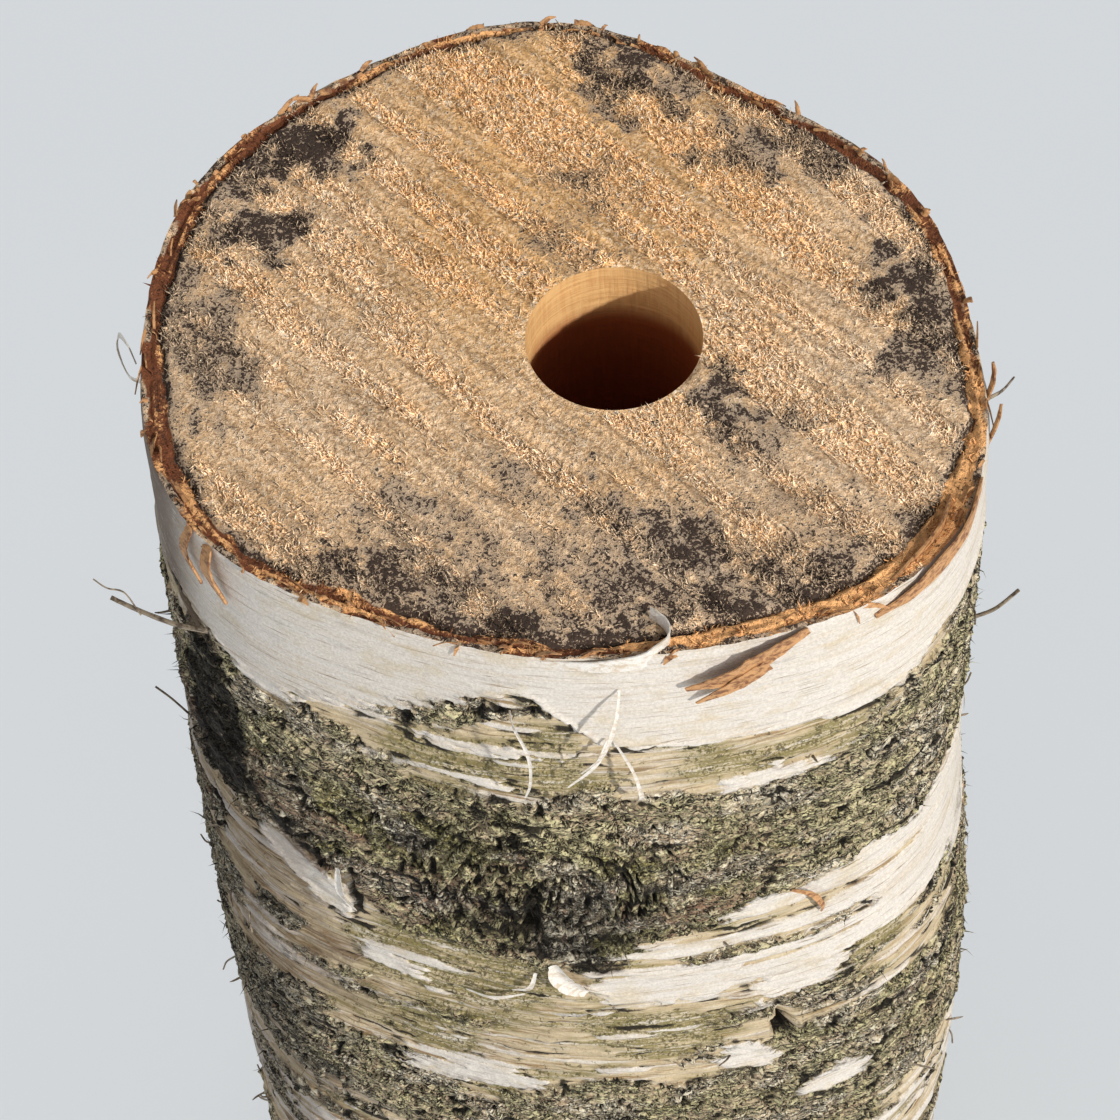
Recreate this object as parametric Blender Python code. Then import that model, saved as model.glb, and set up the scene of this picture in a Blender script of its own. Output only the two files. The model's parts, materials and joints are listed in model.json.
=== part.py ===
"""A short birch log that stands on its sawn end, with a round hole drilled in its top.

Metres, +Z up. The origin is the centre of the log's plan box, on the surface that it stands on.
-Y is the front, the side with the big branch scar.

The log grew as one piece, so it is one object. Its plan outline is a mean radius with a few waves
round it, and broad swellings and hollows shape its length. The drilled hole is cut by a Boolean.
"""

import math

import bmesh
import bpy
from mathutils import Vector

LOG_HEIGHT = 0.250
MEAN_RADIUS = 0.0504

# Waves round the outline: how many round the log, then the cosine and sine parts in metres.
OUTLINE_WAVES = (
    (1, 0.00017, 0.00053),
    (2, 0.00179, -0.00248),
    (3, -0.00013, -0.00177),
    (4, -0.00024, 0.00019),
    (5, -0.00016, 0.00035),
    (6, -0.00080, 0.00033),
)

# Swellings and hollows: angle from +X in degrees, depth below the top, their reach round the
# log in degrees and along it, and how far they stand out (or in, below zero).
SWELLINGS = (
    (-95.0, 0.046, 26.0, 0.020, 0.0016),
    (-18.0, 0.062, 36.0, 0.020, -0.0010),
    (-16.0, 0.126, 38.0, 0.028, 0.0022),
    (-160.0, 0.100, 42.0, 0.044, 0.0012),
    (120.0, 0.185, 30.0, 0.026, 0.0016),
    (60.0, 0.060, 36.0, 0.030, 0.0010),
    (-120.0, 0.215, 36.0, 0.024, -0.0012),
)

ARRIS = 0.0008  # how far the sawn edges are worn back
SIDES = 96
COURSES = 26

HOLE_DIAMETER = 0.022
HOLE_DEPTH = 0.040
HOLE_OFFSET = (0.0070, 0.0000)  # from the middle that the outline waves round
HOLE_SIDES = 64
CUTTER_CLEARANCE = 0.010  # how far the cutter stands out of the top face

BARK_COLOUR = (0.62, 0.58, 0.50, 1.0)
BARK_ROUGHNESS = 0.85


def clear_scene():
    """Removes every object, so that only the log is left at the end."""
    for thing in list(bpy.data.objects):
        bpy.data.objects.remove(thing)


def reach_of(distance, reach):
    """How strongly a swelling acts at this distance from its middle, from 1 down to 0."""
    return math.exp(-0.5 * (distance / reach) ** 2)


def radius_at(angle, depth):
    """The log's radius at an angle from +X, in radians, and a depth below the top face."""
    radius = MEAN_RADIUS
    for count, cosine, sine in OUTLINE_WAVES:
        radius += cosine * math.cos(count * angle) + sine * math.sin(count * angle)
    for centre, middle, round_reach, long_reach, amount in SWELLINGS:
        turn = math.degrees(angle) - centre
        turn = (turn + 180.0) % 360.0 - 180.0
        radius += amount * reach_of(turn, round_reach) * reach_of(depth - middle, long_reach)
    return radius


def course_heights():
    """The heights of the rings of points, with a narrow worn edge at both sawn ends."""
    inner = [
        ARRIS + (LOG_HEIGHT - 2 * ARRIS) * course / COURSES for course in range(COURSES + 1)
    ]
    return [0.0, *inner, LOG_HEIGHT]


def ring_points(height):
    """One ring of the log's surface, narrower by the worn edge on the two sawn faces."""
    worn = ARRIS if height in (0.0, LOG_HEIGHT) else 0.0
    points = []
    for side in range(SIDES):
        angle = 2 * math.pi * side / SIDES
        radius = radius_at(angle, LOG_HEIGHT - height) - worn
        points.append(Vector((radius * math.cos(angle), radius * math.sin(angle), height)))
    return points


def plan_centre(rings):
    """The middle of the plan box round every ring, which becomes the origin."""
    across = [point.x for ring in rings for point in ring]
    along = [point.y for ring in rings for point in ring]
    return Vector(((min(across) + max(across)) / 2, (min(along) + max(along)) / 2, 0.0))


def log_mesh(rings, centre):
    """The closed skin of the log, before the hole is drilled."""
    shape = bmesh.new()
    courses = [[shape.verts.new(point - centre) for point in ring] for ring in rings]
    for lower, upper in zip(courses, courses[1:]):
        for side in range(SIDES):
            after = (side + 1) % SIDES
            shape.faces.new((lower[side], lower[after], upper[after], upper[side]))
    shape.faces.new(reversed(courses[0]))
    shape.faces.new(courses[-1])
    mesh = bpy.data.meshes.new("birch_log")
    shape.to_mesh(mesh)
    shape.free()
    mesh.shade_smooth()
    mesh.set_sharp_from_angle(angle=math.radians(40))
    return mesh


def bark_material():
    """A plain pale bark finish."""
    material = bpy.data.materials.new("birch_bark")
    material.use_nodes = True
    shader = material.node_tree.nodes["Principled BSDF"]
    shader.inputs["Base Color"].default_value = BARK_COLOUR
    shader.inputs["Roughness"].default_value = BARK_ROUGHNESS
    shader.inputs["Metallic"].default_value = 0.0
    return material


def hole_cutter(centre):
    """The drill's cylinder, a helper that the build leaves out."""
    depth = HOLE_DEPTH + CUTTER_CLEARANCE
    bpy.ops.mesh.primitive_cylinder_add(
        vertices=HOLE_SIDES, radius=HOLE_DIAMETER / 2, depth=depth
    )
    cutter = bpy.context.active_object
    cutter.name = "drill_cutter"
    across, along = HOLE_OFFSET
    cutter.location = (
        across - centre.x,
        along - centre.y,
        LOG_HEIGHT - HOLE_DEPTH + depth / 2,
    )
    cutter.hide_render = True
    cutter.display_type = "WIRE"
    return cutter


def make_log():
    """The finished log: its skin, its finish and the drilled hole."""
    rings = [ring_points(height) for height in course_heights()]
    centre = plan_centre(rings)
    log = bpy.data.objects.new("birch_log", log_mesh(rings, centre))
    bpy.context.scene.collection.objects.link(log)
    log.data.materials.append(bark_material())
    drilled = log.modifiers.new("drilled_hole", "BOOLEAN")
    drilled.operation = "DIFFERENCE"
    drilled.solver = "EXACT"
    drilled.object = hole_cutter(centre)
    return log


clear_scene()
make_log()
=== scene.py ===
"""The looks of a short birch log: its bark, its rough sawn ends and the hole drilled in its top.

+Z is up and everything is in the solid model's frame. Blender's own lengths are metres. The classes
that shape a skin work in millimetres, because relief is that fine, and a mesh is made in metres at
the end. Angles round the log are degrees from +X, so -90 is the front. Depths run down from the top.
"""

import json
import logging
import math
from dataclasses import dataclass, field
from enum import Enum

import bpy
import numpy as np
from mathutils import Matrix, Vector

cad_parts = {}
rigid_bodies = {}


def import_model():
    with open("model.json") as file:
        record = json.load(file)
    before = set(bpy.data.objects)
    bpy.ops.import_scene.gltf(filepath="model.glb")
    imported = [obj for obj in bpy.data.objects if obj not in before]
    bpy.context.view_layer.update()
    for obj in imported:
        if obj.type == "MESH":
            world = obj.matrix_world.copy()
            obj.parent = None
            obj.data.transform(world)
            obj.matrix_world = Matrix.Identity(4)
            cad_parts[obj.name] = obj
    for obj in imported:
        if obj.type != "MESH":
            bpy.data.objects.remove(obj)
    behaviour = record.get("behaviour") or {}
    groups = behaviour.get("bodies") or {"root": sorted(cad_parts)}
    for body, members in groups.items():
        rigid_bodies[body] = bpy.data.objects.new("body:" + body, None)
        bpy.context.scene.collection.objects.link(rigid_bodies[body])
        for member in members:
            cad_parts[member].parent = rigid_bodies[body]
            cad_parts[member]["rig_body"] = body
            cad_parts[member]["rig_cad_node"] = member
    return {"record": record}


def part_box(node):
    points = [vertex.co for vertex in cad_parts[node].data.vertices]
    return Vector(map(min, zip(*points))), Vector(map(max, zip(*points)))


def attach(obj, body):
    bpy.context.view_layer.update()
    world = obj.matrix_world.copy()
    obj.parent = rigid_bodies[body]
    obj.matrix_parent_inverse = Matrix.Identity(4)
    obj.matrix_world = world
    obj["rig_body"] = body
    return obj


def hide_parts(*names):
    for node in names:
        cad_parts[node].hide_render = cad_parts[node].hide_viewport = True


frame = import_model()

LOG_NODE = "birch_log"
BODY = "root"
MM = 0.001
HALF_TURN = 180.0
FULL_TURN = 360.0
FAR_OUTSIDE = -99.0  # millimetres, further outside a patch than any ragged edge reaches
HAIR_SEED = 91
FUZZ_SEED = 81
GLOSS = 0.3  # the specular level of dry wood and bark
FLAT_MAP = "OFBake"  # each piece's own flat map
HASH_SPAN = 2.0 ** 32
HASH_FACTORS = (374761393, 668265263, 2246822519, 1274126177, 2654435761)

logging.basicConfig(level=logging.INFO, format="%(message)s")
log = logging.getLogger("birch_log")


# ---------------------------------------------------------------- numbers on a skin


def soft_step(value: np.ndarray, low: float, high: float) -> np.ndarray:
    """Rises smoothly from 0 at low to 1 at high."""
    share = np.clip((value - low) / (high - low), 0.0, 1.0)
    return share * share * (3.0 - 2.0 * share)


def inside(distance: np.ndarray, blur: float) -> np.ndarray:
    """Turns a distance inside an edge into a mask whose edge is as wide as the blur."""
    return soft_step(distance, -blur, blur)


def blend(low: np.ndarray, high: np.ndarray, share: np.ndarray) -> np.ndarray:
    """Goes from low to high as share goes from 0 to 1."""
    return low + (high - low) * share


def shuffled(across: np.ndarray, along: np.ndarray, seed: int) -> np.ndarray:
    """A fixed shuffled number from 0 to 1 for each cell of a grid.

    Args:
        across: The cells' whole numbers one way.
        along: The cells' whole numbers the other way.
        seed: Which shuffle to use.

    Returns:
        One number for each cell, the same at every run.
    """
    first, second, third, fourth, fifth = (np.uint32(factor) for factor in HASH_FACTORS)
    with np.errstate(over="ignore"):
        mixed = across.astype(np.uint32) * first + along.astype(np.uint32) * second
        mixed = mixed + np.uint32(seed) * third
        mixed = (mixed ^ (mixed >> np.uint32(13))) * fourth
        mixed = (mixed ^ (mixed >> np.uint32(15))) * fifth
        mixed = mixed ^ (mixed >> np.uint32(16))
    return mixed.astype(np.float64) / HASH_SPAN


@dataclass
class Skin:
    """A flat map of a surface, in millimetres, on which grain, plates and dashes are laid.

    Attributes:
        across: Where each point is across the map.
        along: Where each point is along the map.
        girth: The width at which the map meets itself again, or 0 where it has plain edges.
    """

    across: np.ndarray
    along: np.ndarray
    girth: float = 0.0

    def cells(self, width: float, height: float) -> tuple[np.ndarray, np.ndarray, int]:
        """The map measured in cells of this size, and how many cells go round."""
        count = max(1, round(self.girth / width)) if self.girth else 0
        step = self.girth / count if count else width
        return self.across / step, self.along / height, count

    def moved(self, across: np.ndarray, along: np.ndarray) -> "Skin":
        """The same map with its points pushed aside, to bend whatever is laid on it."""
        return Skin(self.across + across, self.along + along, self.girth)

    def grain(self, width: float, height: float, seed: int, octaves: int = 1) -> np.ndarray:
        """Smooth noise from about -1 to 1.

        Args:
            width: The size of its largest blots across the map.
            height: Their size along the map.
            seed: Which noise to use.
            octaves: How many finer and weaker layers to add up.

        Returns:
            The noise at each point.
        """
        total = np.zeros_like(self.across)
        weight, reach = 1.0, 0.0
        for octave in range(octaves):
            u, v, count = self.cells(width / 2 ** octave, height / 2 ** octave)
            total += weight * self._wave(u, v, count, seed + 31 * octave)
            reach += weight
            weight *= 0.5
        return total / reach * (1.0 + 0.25 * (octaves - 1))

    @staticmethod
    def _wave(u: np.ndarray, v: np.ndarray, count: int, seed: int) -> np.ndarray:
        """One layer of noise, from slopes fixed at the corners of each cell."""
        column, row = np.floor(u), np.floor(v)
        right, down = u - column, v - row
        ease_right = right ** 3 * (right * (right * 6 - 15) + 10)
        ease_down = down ** 3 * (down * (down * 6 - 15) + 10)
        total = np.zeros_like(u)
        for step_right in (0, 1):
            corner = column.astype(np.int64) + step_right
            corner = corner % count if count else corner
            share_right = ease_right if step_right else 1 - ease_right
            for step_down in (0, 1):
                spin = shuffled(corner, row.astype(np.int64) + step_down, seed) * 2 * math.pi
                slope = np.cos(spin) * (right - step_right) + np.sin(spin) * (down - step_down)
                total += share_right * (ease_down if step_down else 1 - ease_down) * slope
        return total * 1.5

    def plates(self, width: float, height: float, seed: int) -> tuple[np.ndarray, np.ndarray]:
        """Broken plates, as in bark.

        Args:
            width: A plate's usual size across the map.
            height: Its usual size along the map.
            seed: Which set of plates to use.

        Returns:
            How far inside its plate each point is, from 0 on a crack, and a number from 0 to 1
            that belongs to its plate.
        """
        u, v, count = self.cells(width, height)
        column, row = np.floor(u), np.floor(v)
        near = np.full(u.shape, 9.0)
        next_near = np.full(u.shape, 9.0)
        owner = np.zeros(u.shape)
        for step_right in (-1, 0, 1):
            for step_down in (-1, 0, 1):
                cell = column.astype(np.int64) + step_right
                wrapped = cell % count if count else cell
                line = row.astype(np.int64) + step_down
                middle_u = cell + 0.1 + 0.8 * shuffled(wrapped, line, seed)
                middle_v = line + 0.1 + 0.8 * shuffled(wrapped, line, seed + 7)
                gap = np.hypot(u - middle_u, v - middle_v)
                closer = gap < near
                next_near = np.where(closer, near, np.minimum(next_near, gap))
                near = np.where(closer, gap, near)
                owner = np.where(closer, shuffled(wrapped, line, seed + 13), owner)
        return next_near - near, owner

    def dashes(self, width: float, height: float, thick: float, share: float, seed: int) -> np.ndarray:
        """Short level marks, such as a birch's breathing pores.

        Args:
            width: The room for one mark across the map.
            height: The room for one mark along the map.
            thick: How thick a mark is at its middle.
            share: How many of the rooms hold a mark, from 0 to 1.
            seed: Which set of marks to use.

        Returns:
            A mask that is 1 on the marks.
        """
        u, v, count = self.cells(width, height)
        column, row = np.floor(u), np.floor(v)
        mask = np.zeros(u.shape)
        for step in (-1, 0, 1):
            cell = column.astype(np.int64) + step
            wrapped = cell % count if count else cell
            line = row.astype(np.int64)
            held = shuffled(wrapped, line, seed) < share
            half = 0.15 + 0.45 * shuffled(wrapped, line, seed + 3) ** 2
            middle_u = cell + 0.5 + 0.3 * (shuffled(wrapped, line, seed + 5) - 0.5)
            middle_v = line + 0.5 + 0.5 * (shuffled(wrapped, line, seed + 9) - 0.5)
            taper = 1.0 - ((u - middle_u) / half) ** 2
            body = taper - np.abs(v - middle_v) * height / (0.5 * thick)
            mask = np.maximum(mask, held * soft_step(body, -0.2, 0.4))
        return mask


@dataclass(frozen=True)
class Patch:
    """An oval spot on the bark.

    Attributes:
        turn: The angle of its middle round the log, in degrees.
        depth: How far its middle is below the top, in millimetres.
        wide: Half its width round the log, in millimetres.
        tall: Half its height, in millimetres.
        rise: How far it climbs for each millimetre towards larger angles.
    """

    turn: float
    depth: float
    wide: float
    tall: float
    rise: float = 0.0


# ---------------------------------------------------------------- shader sums


class Sum:
    """A shader socket that takes part in Python sums. Each operator adds its Math node."""

    def __init__(self, sheet: "Sheet", socket: bpy.types.NodeSocket) -> None:
        """Keeps the socket and the sheet of nodes that it is on."""
        self.sheet = sheet
        self.socket = socket

    def _math(self, operation: str, first: object, second: object) -> "Sum":
        """Adds one Math node."""
        return self.sheet.node("ShaderNodeMath", {"operation": operation}, {0: first, 1: second})

    def __add__(self, other: object) -> "Sum":
        """self + other."""
        return self._math("ADD", self, other)

    __radd__ = __add__

    def __sub__(self, other: object) -> "Sum":
        """self - other."""
        return self._math("SUBTRACT", self, other)

    def __rsub__(self, other: object) -> "Sum":
        """other - self."""
        return self._math("SUBTRACT", other, self)

    def __mul__(self, other: object) -> "Sum":
        """self * other."""
        return self._math("MULTIPLY", self, other)

    __rmul__ = __mul__

    def most(self, other: object) -> "Sum":
        """The larger of the two."""
        return self._math("MAXIMUM", self, other)

    def held(self) -> "Sum":
        """The value kept from 0 to 1."""
        return self.sheet.node("ShaderNodeClamp", {}, {"Value": self})


class Sheet:
    """A material and the few ways in which its nodes are added."""

    def __init__(self, name: str) -> None:
        """Starts a material that holds only its Principled shader and its output."""
        self.material = bpy.data.materials.new(name)
        self.material.use_nodes = True
        self.tree = self.material.node_tree
        self.shader = self.tree.nodes["Principled BSDF"]
        self.place = self.node("ShaderNodeTexCoord", {}, {}, "Object")

    def node(self, kind: str, settings: dict, values: dict, output: str | int = 0) -> Sum:
        """Adds a node of any kind.

        Args:
            kind: The node's type.
            settings: Its properties, set first.
            values: Its input sockets by name or number: a Sum is linked, anything else is set.
            output: Which output to hand back.

        Returns:
            That output, ready for sums.
        """
        made = self.tree.nodes.new(kind)
        for name, value in settings.items():
            setattr(made, name, value)
        for name, value in values.items():
            if isinstance(value, Sum):
                self.tree.links.new(value.socket, made.inputs[name])
            else:
                made.inputs[name].default_value = value
        return Sum(self, made.outputs[output])

    def mask(self, name: str) -> tuple[Sum, Sum, Sum]:
        """The three masks kept in one colour attribute."""
        colour = self.node("ShaderNodeAttribute", {"attribute_name": name}, {}, "Color")
        split = self.node("ShaderNodeSeparateColor", {}, {"Color": colour}, "Red")
        outputs = split.socket.node.outputs
        return tuple(Sum(self, outputs[name]) for name in ("Red", "Green", "Blue"))

    def noise(self, size_mm: tuple[float, float, float], detail: float = 3.0, rough: float = 0.55,
              twist: float = 0.0) -> Sum:
        """Noise on the piece's own coordinates.

        Args:
            size_mm: How large its blots are along X, Y and Z, in millimetres.
            detail: How many finer layers it has.
            rough: How strong the finer layers are.
            twist: How much it is distorted.

        Returns:
            The noise, from 0 to 1.
        """
        scale = tuple(1.0 / (size * MM) for size in size_mm)
        place = self.node("ShaderNodeMapping", {}, {"Vector": self.place, "Scale": scale})
        values = {"Vector": place, "Scale": 1.0, "Detail": detail, "Roughness": rough,
                  "Distortion": twist}
        return self.node("ShaderNodeTexNoise", {}, values, "Fac")

    def step(self, value: Sum, low: float, high: float) -> Sum:
        """Rises smoothly from 0 to 1 as the value goes from low to high."""
        values = {"Value": value, "From Min": low, "From Max": high}
        return self.node("ShaderNodeMapRange", {"interpolation_type": "SMOOTHSTEP"}, values)

    def mix(self, low: object, high: object, share: object) -> Sum:
        """Mixes two colours. A plain colour is three linear numbers."""
        low, high = (c if isinstance(c, Sum) else (*c, 1.0) for c in (low, high))
        settings = {"data_type": "RGBA", "clamp_factor": True}
        return self.node("ShaderNodeMix", settings, {0: share, 6: low, 7: high}, 2)

    def tint(self, colour: Sum, strength: Sum) -> Sum:
        """A colour made brighter or darker by a strength round 1."""
        grey = self.node("ShaderNodeCombineXYZ", {}, {0: strength, 1: strength, 2: strength})
        return self.node("ShaderNodeVectorMath", {"operation": "MULTIPLY"}, {0: colour, 1: grey})

    def dress(self, colour: Sum, roughness: float, height: Sum, relief_mm: float) -> bpy.types.Material:
        """Joins the finished colour and fine relief to the shader, and sets its roughness.

        Args:
            colour: The base colour.
            roughness: The roughness, the same all over.
            height: The fine relief, from 0 to 1.
            relief_mm: How deep that relief is.

        Returns:
            The finished material.
        """
        values = {"Height": height, "Strength": 1.0, "Distance": relief_mm * MM}
        bump = self.node("ShaderNodeBump", {}, values, "Normal")
        self.tree.links.new(colour.socket, self.shader.inputs["Base Color"])
        self.tree.links.new(bump.socket, self.shader.inputs["Normal"])
        self.shader.inputs["Roughness"].default_value = roughness
        self.shader.inputs["Specular IOR Level"].default_value = GLOSS
        return self.material


# ---------------------------------------------------------------- finishes


@dataclass(frozen=True)
class BarkFinish:
    """Birch bark: papery white, aged cream and olive, and dark fissured cork with moss.

    It reads three attributes. "zones" holds white paper, moss and cork. "marks" holds the cracks,
    with painted shade in the pits and a painted shadow along the paper's edges, the tan streaks,
    raised on the cork's lips for a painted highlight, and the soot together with painted shade in the
    clefts, at the left edge of the white band and, with some dirt, on the left flank. "plates" holds
    the tone of each plate of cork and its ledges, which get a painted highlight.
    """

    paper: tuple = (0.68, 0.63, 0.565)
    paper_shade: tuple = (0.60, 0.50, 0.38)
    cream: tuple = (0.57, 0.465, 0.305)
    tan: tuple = (0.29, 0.19, 0.095)
    olive: tuple = (0.205, 0.17, 0.066)
    cork: tuple = (0.052, 0.040, 0.026)
    cork_light: tuple = (0.42, 0.325, 0.205)
    rust: tuple = (0.27, 0.145, 0.088)
    moss: tuple = (0.120, 0.102, 0.030)
    moss_light: tuple = (0.325, 0.290, 0.085)
    # crumb and the pale lichen colour make the light colour that the cork's crack lips and ledges get as
    # a painted highlight; it also marks random pale crumbs.
    crumb: tuple = (0.80, 0.73, 0.57)
    # black darkens the cracks, and lays painted shade in the pits and clefts and along the paper's edges.
    black: tuple = (0.010, 0.007, 0.004)
    # brown draws the paper's fine lines, and as painted shade browns the left edge of the white band and
    # the left flank.
    brown: tuple = (0.13, 0.08, 0.05)
    pale_lichen_and_highlight: tuple = (0.64, 0.58, 0.33)

    def material(self) -> bpy.types.Material:
        """Builds the bark's material."""
        sheet = Sheet("birch_bark")
        white, moss, cork = sheet.mask("zones")
        # The soot mask also carries painted shade: the clefts, the left edge of the white band and, with
        # some dirt, the left flank.
        crack, tan, soot_and_shade = sheet.mask("marks")
        plate_tone, highlit_ledge, _ = sheet.mask("plates")
        level = sheet.noise((24.0, 24.0, 1.0), 5.0, 0.62)
        thread = sheet.noise((7.0, 7.0, 0.32), 3.0, 0.62)
        crumb = sheet.noise((1.3, 1.3, 1.3), 5.0, 0.72, 0.5)
        grit = sheet.noise((0.36, 0.36, 0.36), 3.0, 0.65)
        blot = sheet.noise((6.0, 6.0, 4.0), 4.0, 0.62)
        split = sheet.noise((0.9, 0.9, 3.6), 4.0, 0.66, 0.8)

        paper = sheet.mix(self.paper, self.paper_shade, sheet.step(level, 0.48, 0.70) * 0.6)
        paper = sheet.mix(paper, self.tan, sheet.step(thread, 0.56, 0.70) * 0.45)
        paper = sheet.mix(paper, self.brown, sheet.step(thread * 0.7 + grit * 0.3, 0.605, 0.650) * 0.6)
        paper = sheet.mix(paper, self.cream, sheet.step(blot, 0.50, 0.68) * 0.5)
        aged = sheet.mix(self.cream, self.paper, sheet.step(level, 0.50, 0.62) * 0.8)
        aged = sheet.mix(aged, self.tan, ((tan * 0.7 + 0.3) * sheet.step(thread, 0.44, 0.62)).held())
        green = sheet.mix(self.olive, self.moss_light, sheet.step(crumb, 0.42, 0.62) * 0.7)
        aged = sheet.mix(aged, green, (moss * sheet.step(grit + thread, 0.82, 1.06)).held() * 0.9)
        aged = sheet.mix(aged, self.cork, sheet.step(crumb + grit * 0.5 + moss * 0.10, 0.86, 0.94) * 0.75)

        fold = sheet.noise((2.7, 2.7, 1.15), 4.0, 0.62, 1.3) - 0.5
        crease = 1.0 - sheet.step(fold.most(0.0 - fold), 0.010, 0.032)
        lip = sheet.step(fold, 0.018, 0.030) * (1.0 - sheet.step(fold, 0.040, 0.062))
        rift = sheet.noise((6.5, 6.5, 2.1), 4.0, 0.62, 1.6) - 0.5
        rift = (1.0 - sheet.step(rift.most(0.0 - rift), 0.006, 0.026)) * sheet.step(split, 0.40, 0.52)
        odd = plate_tone - 0.5
        plate = sheet.mix(self.cork, self.cork_light,
                          sheet.step(crumb * 0.5 + grit * 0.5 + tan * 0.12 + odd * 0.16, 0.44, 0.58))
        rusty = sheet.step(blot + odd * 0.25, 0.52, 0.60)
        plate = sheet.mix(plate, self.rust, rusty * 0.65)
        tuft = sheet.mix(self.moss, self.moss_light, sheet.step(grit * 0.6 + crumb * 0.4, 0.45, 0.58))
        tufted = moss * sheet.step(crumb + grit * 0.4 - blot * 0.5 - odd * 0.36, 0.32, 0.50)
        plate = sheet.mix(plate, tuft, tufted.held() * (1.0 - rusty * 0.75) * 0.92)
        pale = (tan * sheet.step(blot + grit * 0.6, 0.60, 0.80)).held()
        plate = sheet.mix(plate, self.cream, pale * 0.85)
        # Painted highlight: this light colour is laid along the crack lips and on the ledges, as if lit;
        # the noise crumbs in between are the cork's own pale bits.
        lit = sheet.mix(self.crumb, self.pale_lichen_and_highlight, moss)
        plate = sheet.mix(plate, lit, lip * (0.55 + tan * 0.45))
        plate = sheet.mix(plate, lit, sheet.step(crumb + grit * 0.5 + tan * 0.06, 0.79, 0.87) * 0.9)
        plate = sheet.mix(plate, lit, highlit_ledge * sheet.step(grit + crumb, 0.82, 1.04) * 0.95)
        plate = sheet.mix(plate, self.black, (crease * sheet.step(split, 0.36, 0.44)).most(rift) * 0.98)

        edge = grit * 0.7 - 0.35
        colour = sheet.mix(aged, paper, sheet.step(white + edge, 0.38, 0.62))
        colour = sheet.mix(colour, plate, sheet.step(cork + edge, 0.36, 0.64))
        # Painted shade: on paper and aged bark the soot mask turns brown, beside the brown pores; on cork
        # it turns black below.
        brown_smear_and_shade = soot_and_shade * (1.0 - cork) * sheet.step(crumb + thread, 0.58, 0.90)
        colour = sheet.mix(colour, self.brown, brown_smear_and_shade * 0.9)
        sooty_and_shaded = soot_and_shade * (cork * 0.85 + 0.15) * sheet.step(crumb, 0.24, 0.46)
        dark = (sheet.step(crack + edge * 0.7, 0.22, 0.62) + sooty_and_shaded).held()
        colour = sheet.mix(colour, self.black, dark * 0.95)
        colour = sheet.tint(colour, 0.60 + grit * 0.80)

        fine = crumb * (0.12 + cork * 0.25) + grit * (0.10 + cork * 0.35) + thread * 0.22
        fine = fine - crease * cork * 0.9 - rift * cork * 0.9 + lip * cork * 0.5
        return sheet.dress(colour, 0.78, fine, 0.6)


@dataclass(frozen=True)
class EndGrainFinish:
    """Sawn end grain that has weathered, with painted shade between its fibres and pale fibres that are
    partly a painted highlight.

    It reads two attributes: "tone" holds the warm wood, the mould stains and the inner bark, and
    "saw" holds the rows of raised fibres and the fine lines of the saw.

    Attributes:
        name: The material's name.
        fuzz: How bright it is against the sawn wood.
        depth: How strongly the painted shade between the fibres darkens it.
        stained: How strongly the mould stains it.
    """

    name: str
    fuzz: float = 1.0
    depth: float = 0.85
    stained: float = 1.15
    wood: tuple = (0.76, 0.53, 0.325)
    fresh: tuple = (0.78, 0.455, 0.19)
    pale: tuple = (0.97, 0.85, 0.68)
    shade_between_fibres: tuple = (0.19, 0.085, 0.034)
    grey: tuple = (0.40, 0.32, 0.245)
    mould: tuple = (0.024, 0.012, 0.008)
    inner: tuple = (0.150, 0.048, 0.018)
    inner_light: tuple = (0.76, 0.40, 0.165)

    def material(self) -> bpy.types.Material:
        """Builds the end grain's material."""
        sheet = Sheet(self.name)
        warm, stain, bark = sheet.mask("tone")
        fluff, scratch, _ = sheet.mask("saw")
        curl = sheet.noise((0.95, 0.95, 0.95), 4.0, 0.70, 1.0)
        clump = sheet.noise((0.48, 0.48, 0.48), 3.0, 0.65, 0.8)
        blot = sheet.noise((3.4, 3.4, 3.4), 4.0, 0.64)
        speckle = curl * 0.45 + clump * 0.55

        colour = sheet.mix(self.wood, self.fresh, (warm * 1.3 + blot * 1.2 - 0.75).held())
        colour = sheet.tint(colour, 0.58 + fluff * 0.34 + scratch * 0.44)
        # Painted shade: a dark colour between the fibres stands in for their shadows.
        colour = sheet.mix(colour, self.shade_between_fibres,
                           sheet.step(0.0 - speckle, -0.485, -0.405) * (fluff * 0.4 + 0.5) * self.depth)
        # Partly the fibres' own paler tone and partly a painted highlight on them.
        colour = sheet.mix(colour, self.pale, sheet.step(speckle, 0.500, 0.585) * (fluff * 0.6 + 0.35))
        colour = sheet.mix(colour, self.grey, sheet.step(stain + blot * 0.9 - 0.45, 0.10, 0.60) * 0.7)
        speck = stain * self.stained + (blot - 0.5) * 1.1 + (curl - 0.5) * 2.6 + (clump - 0.5) * 4.0
        colour = sheet.mix(colour, self.mould, sheet.step(speck, 0.60, 0.84) * 0.96)
        rind = sheet.mix(self.inner, self.inner_light, sheet.step(speckle * 1.5 + warm * 0.6, 1.00, 1.28))
        rind = sheet.mix(rind, self.mould, sheet.step(0.0 - speckle, -0.46, -0.38) * 0.8)
        colour = sheet.mix(colour, rind, sheet.step(bark + clump * 0.6 - 0.3, 0.30, 0.70))
        colour = sheet.tint(colour, (0.42 + clump * 1.12) * self.fuzz)
        return sheet.dress(colour, 0.85, curl * 0.6 + clump * 0.7, 0.6)


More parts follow.
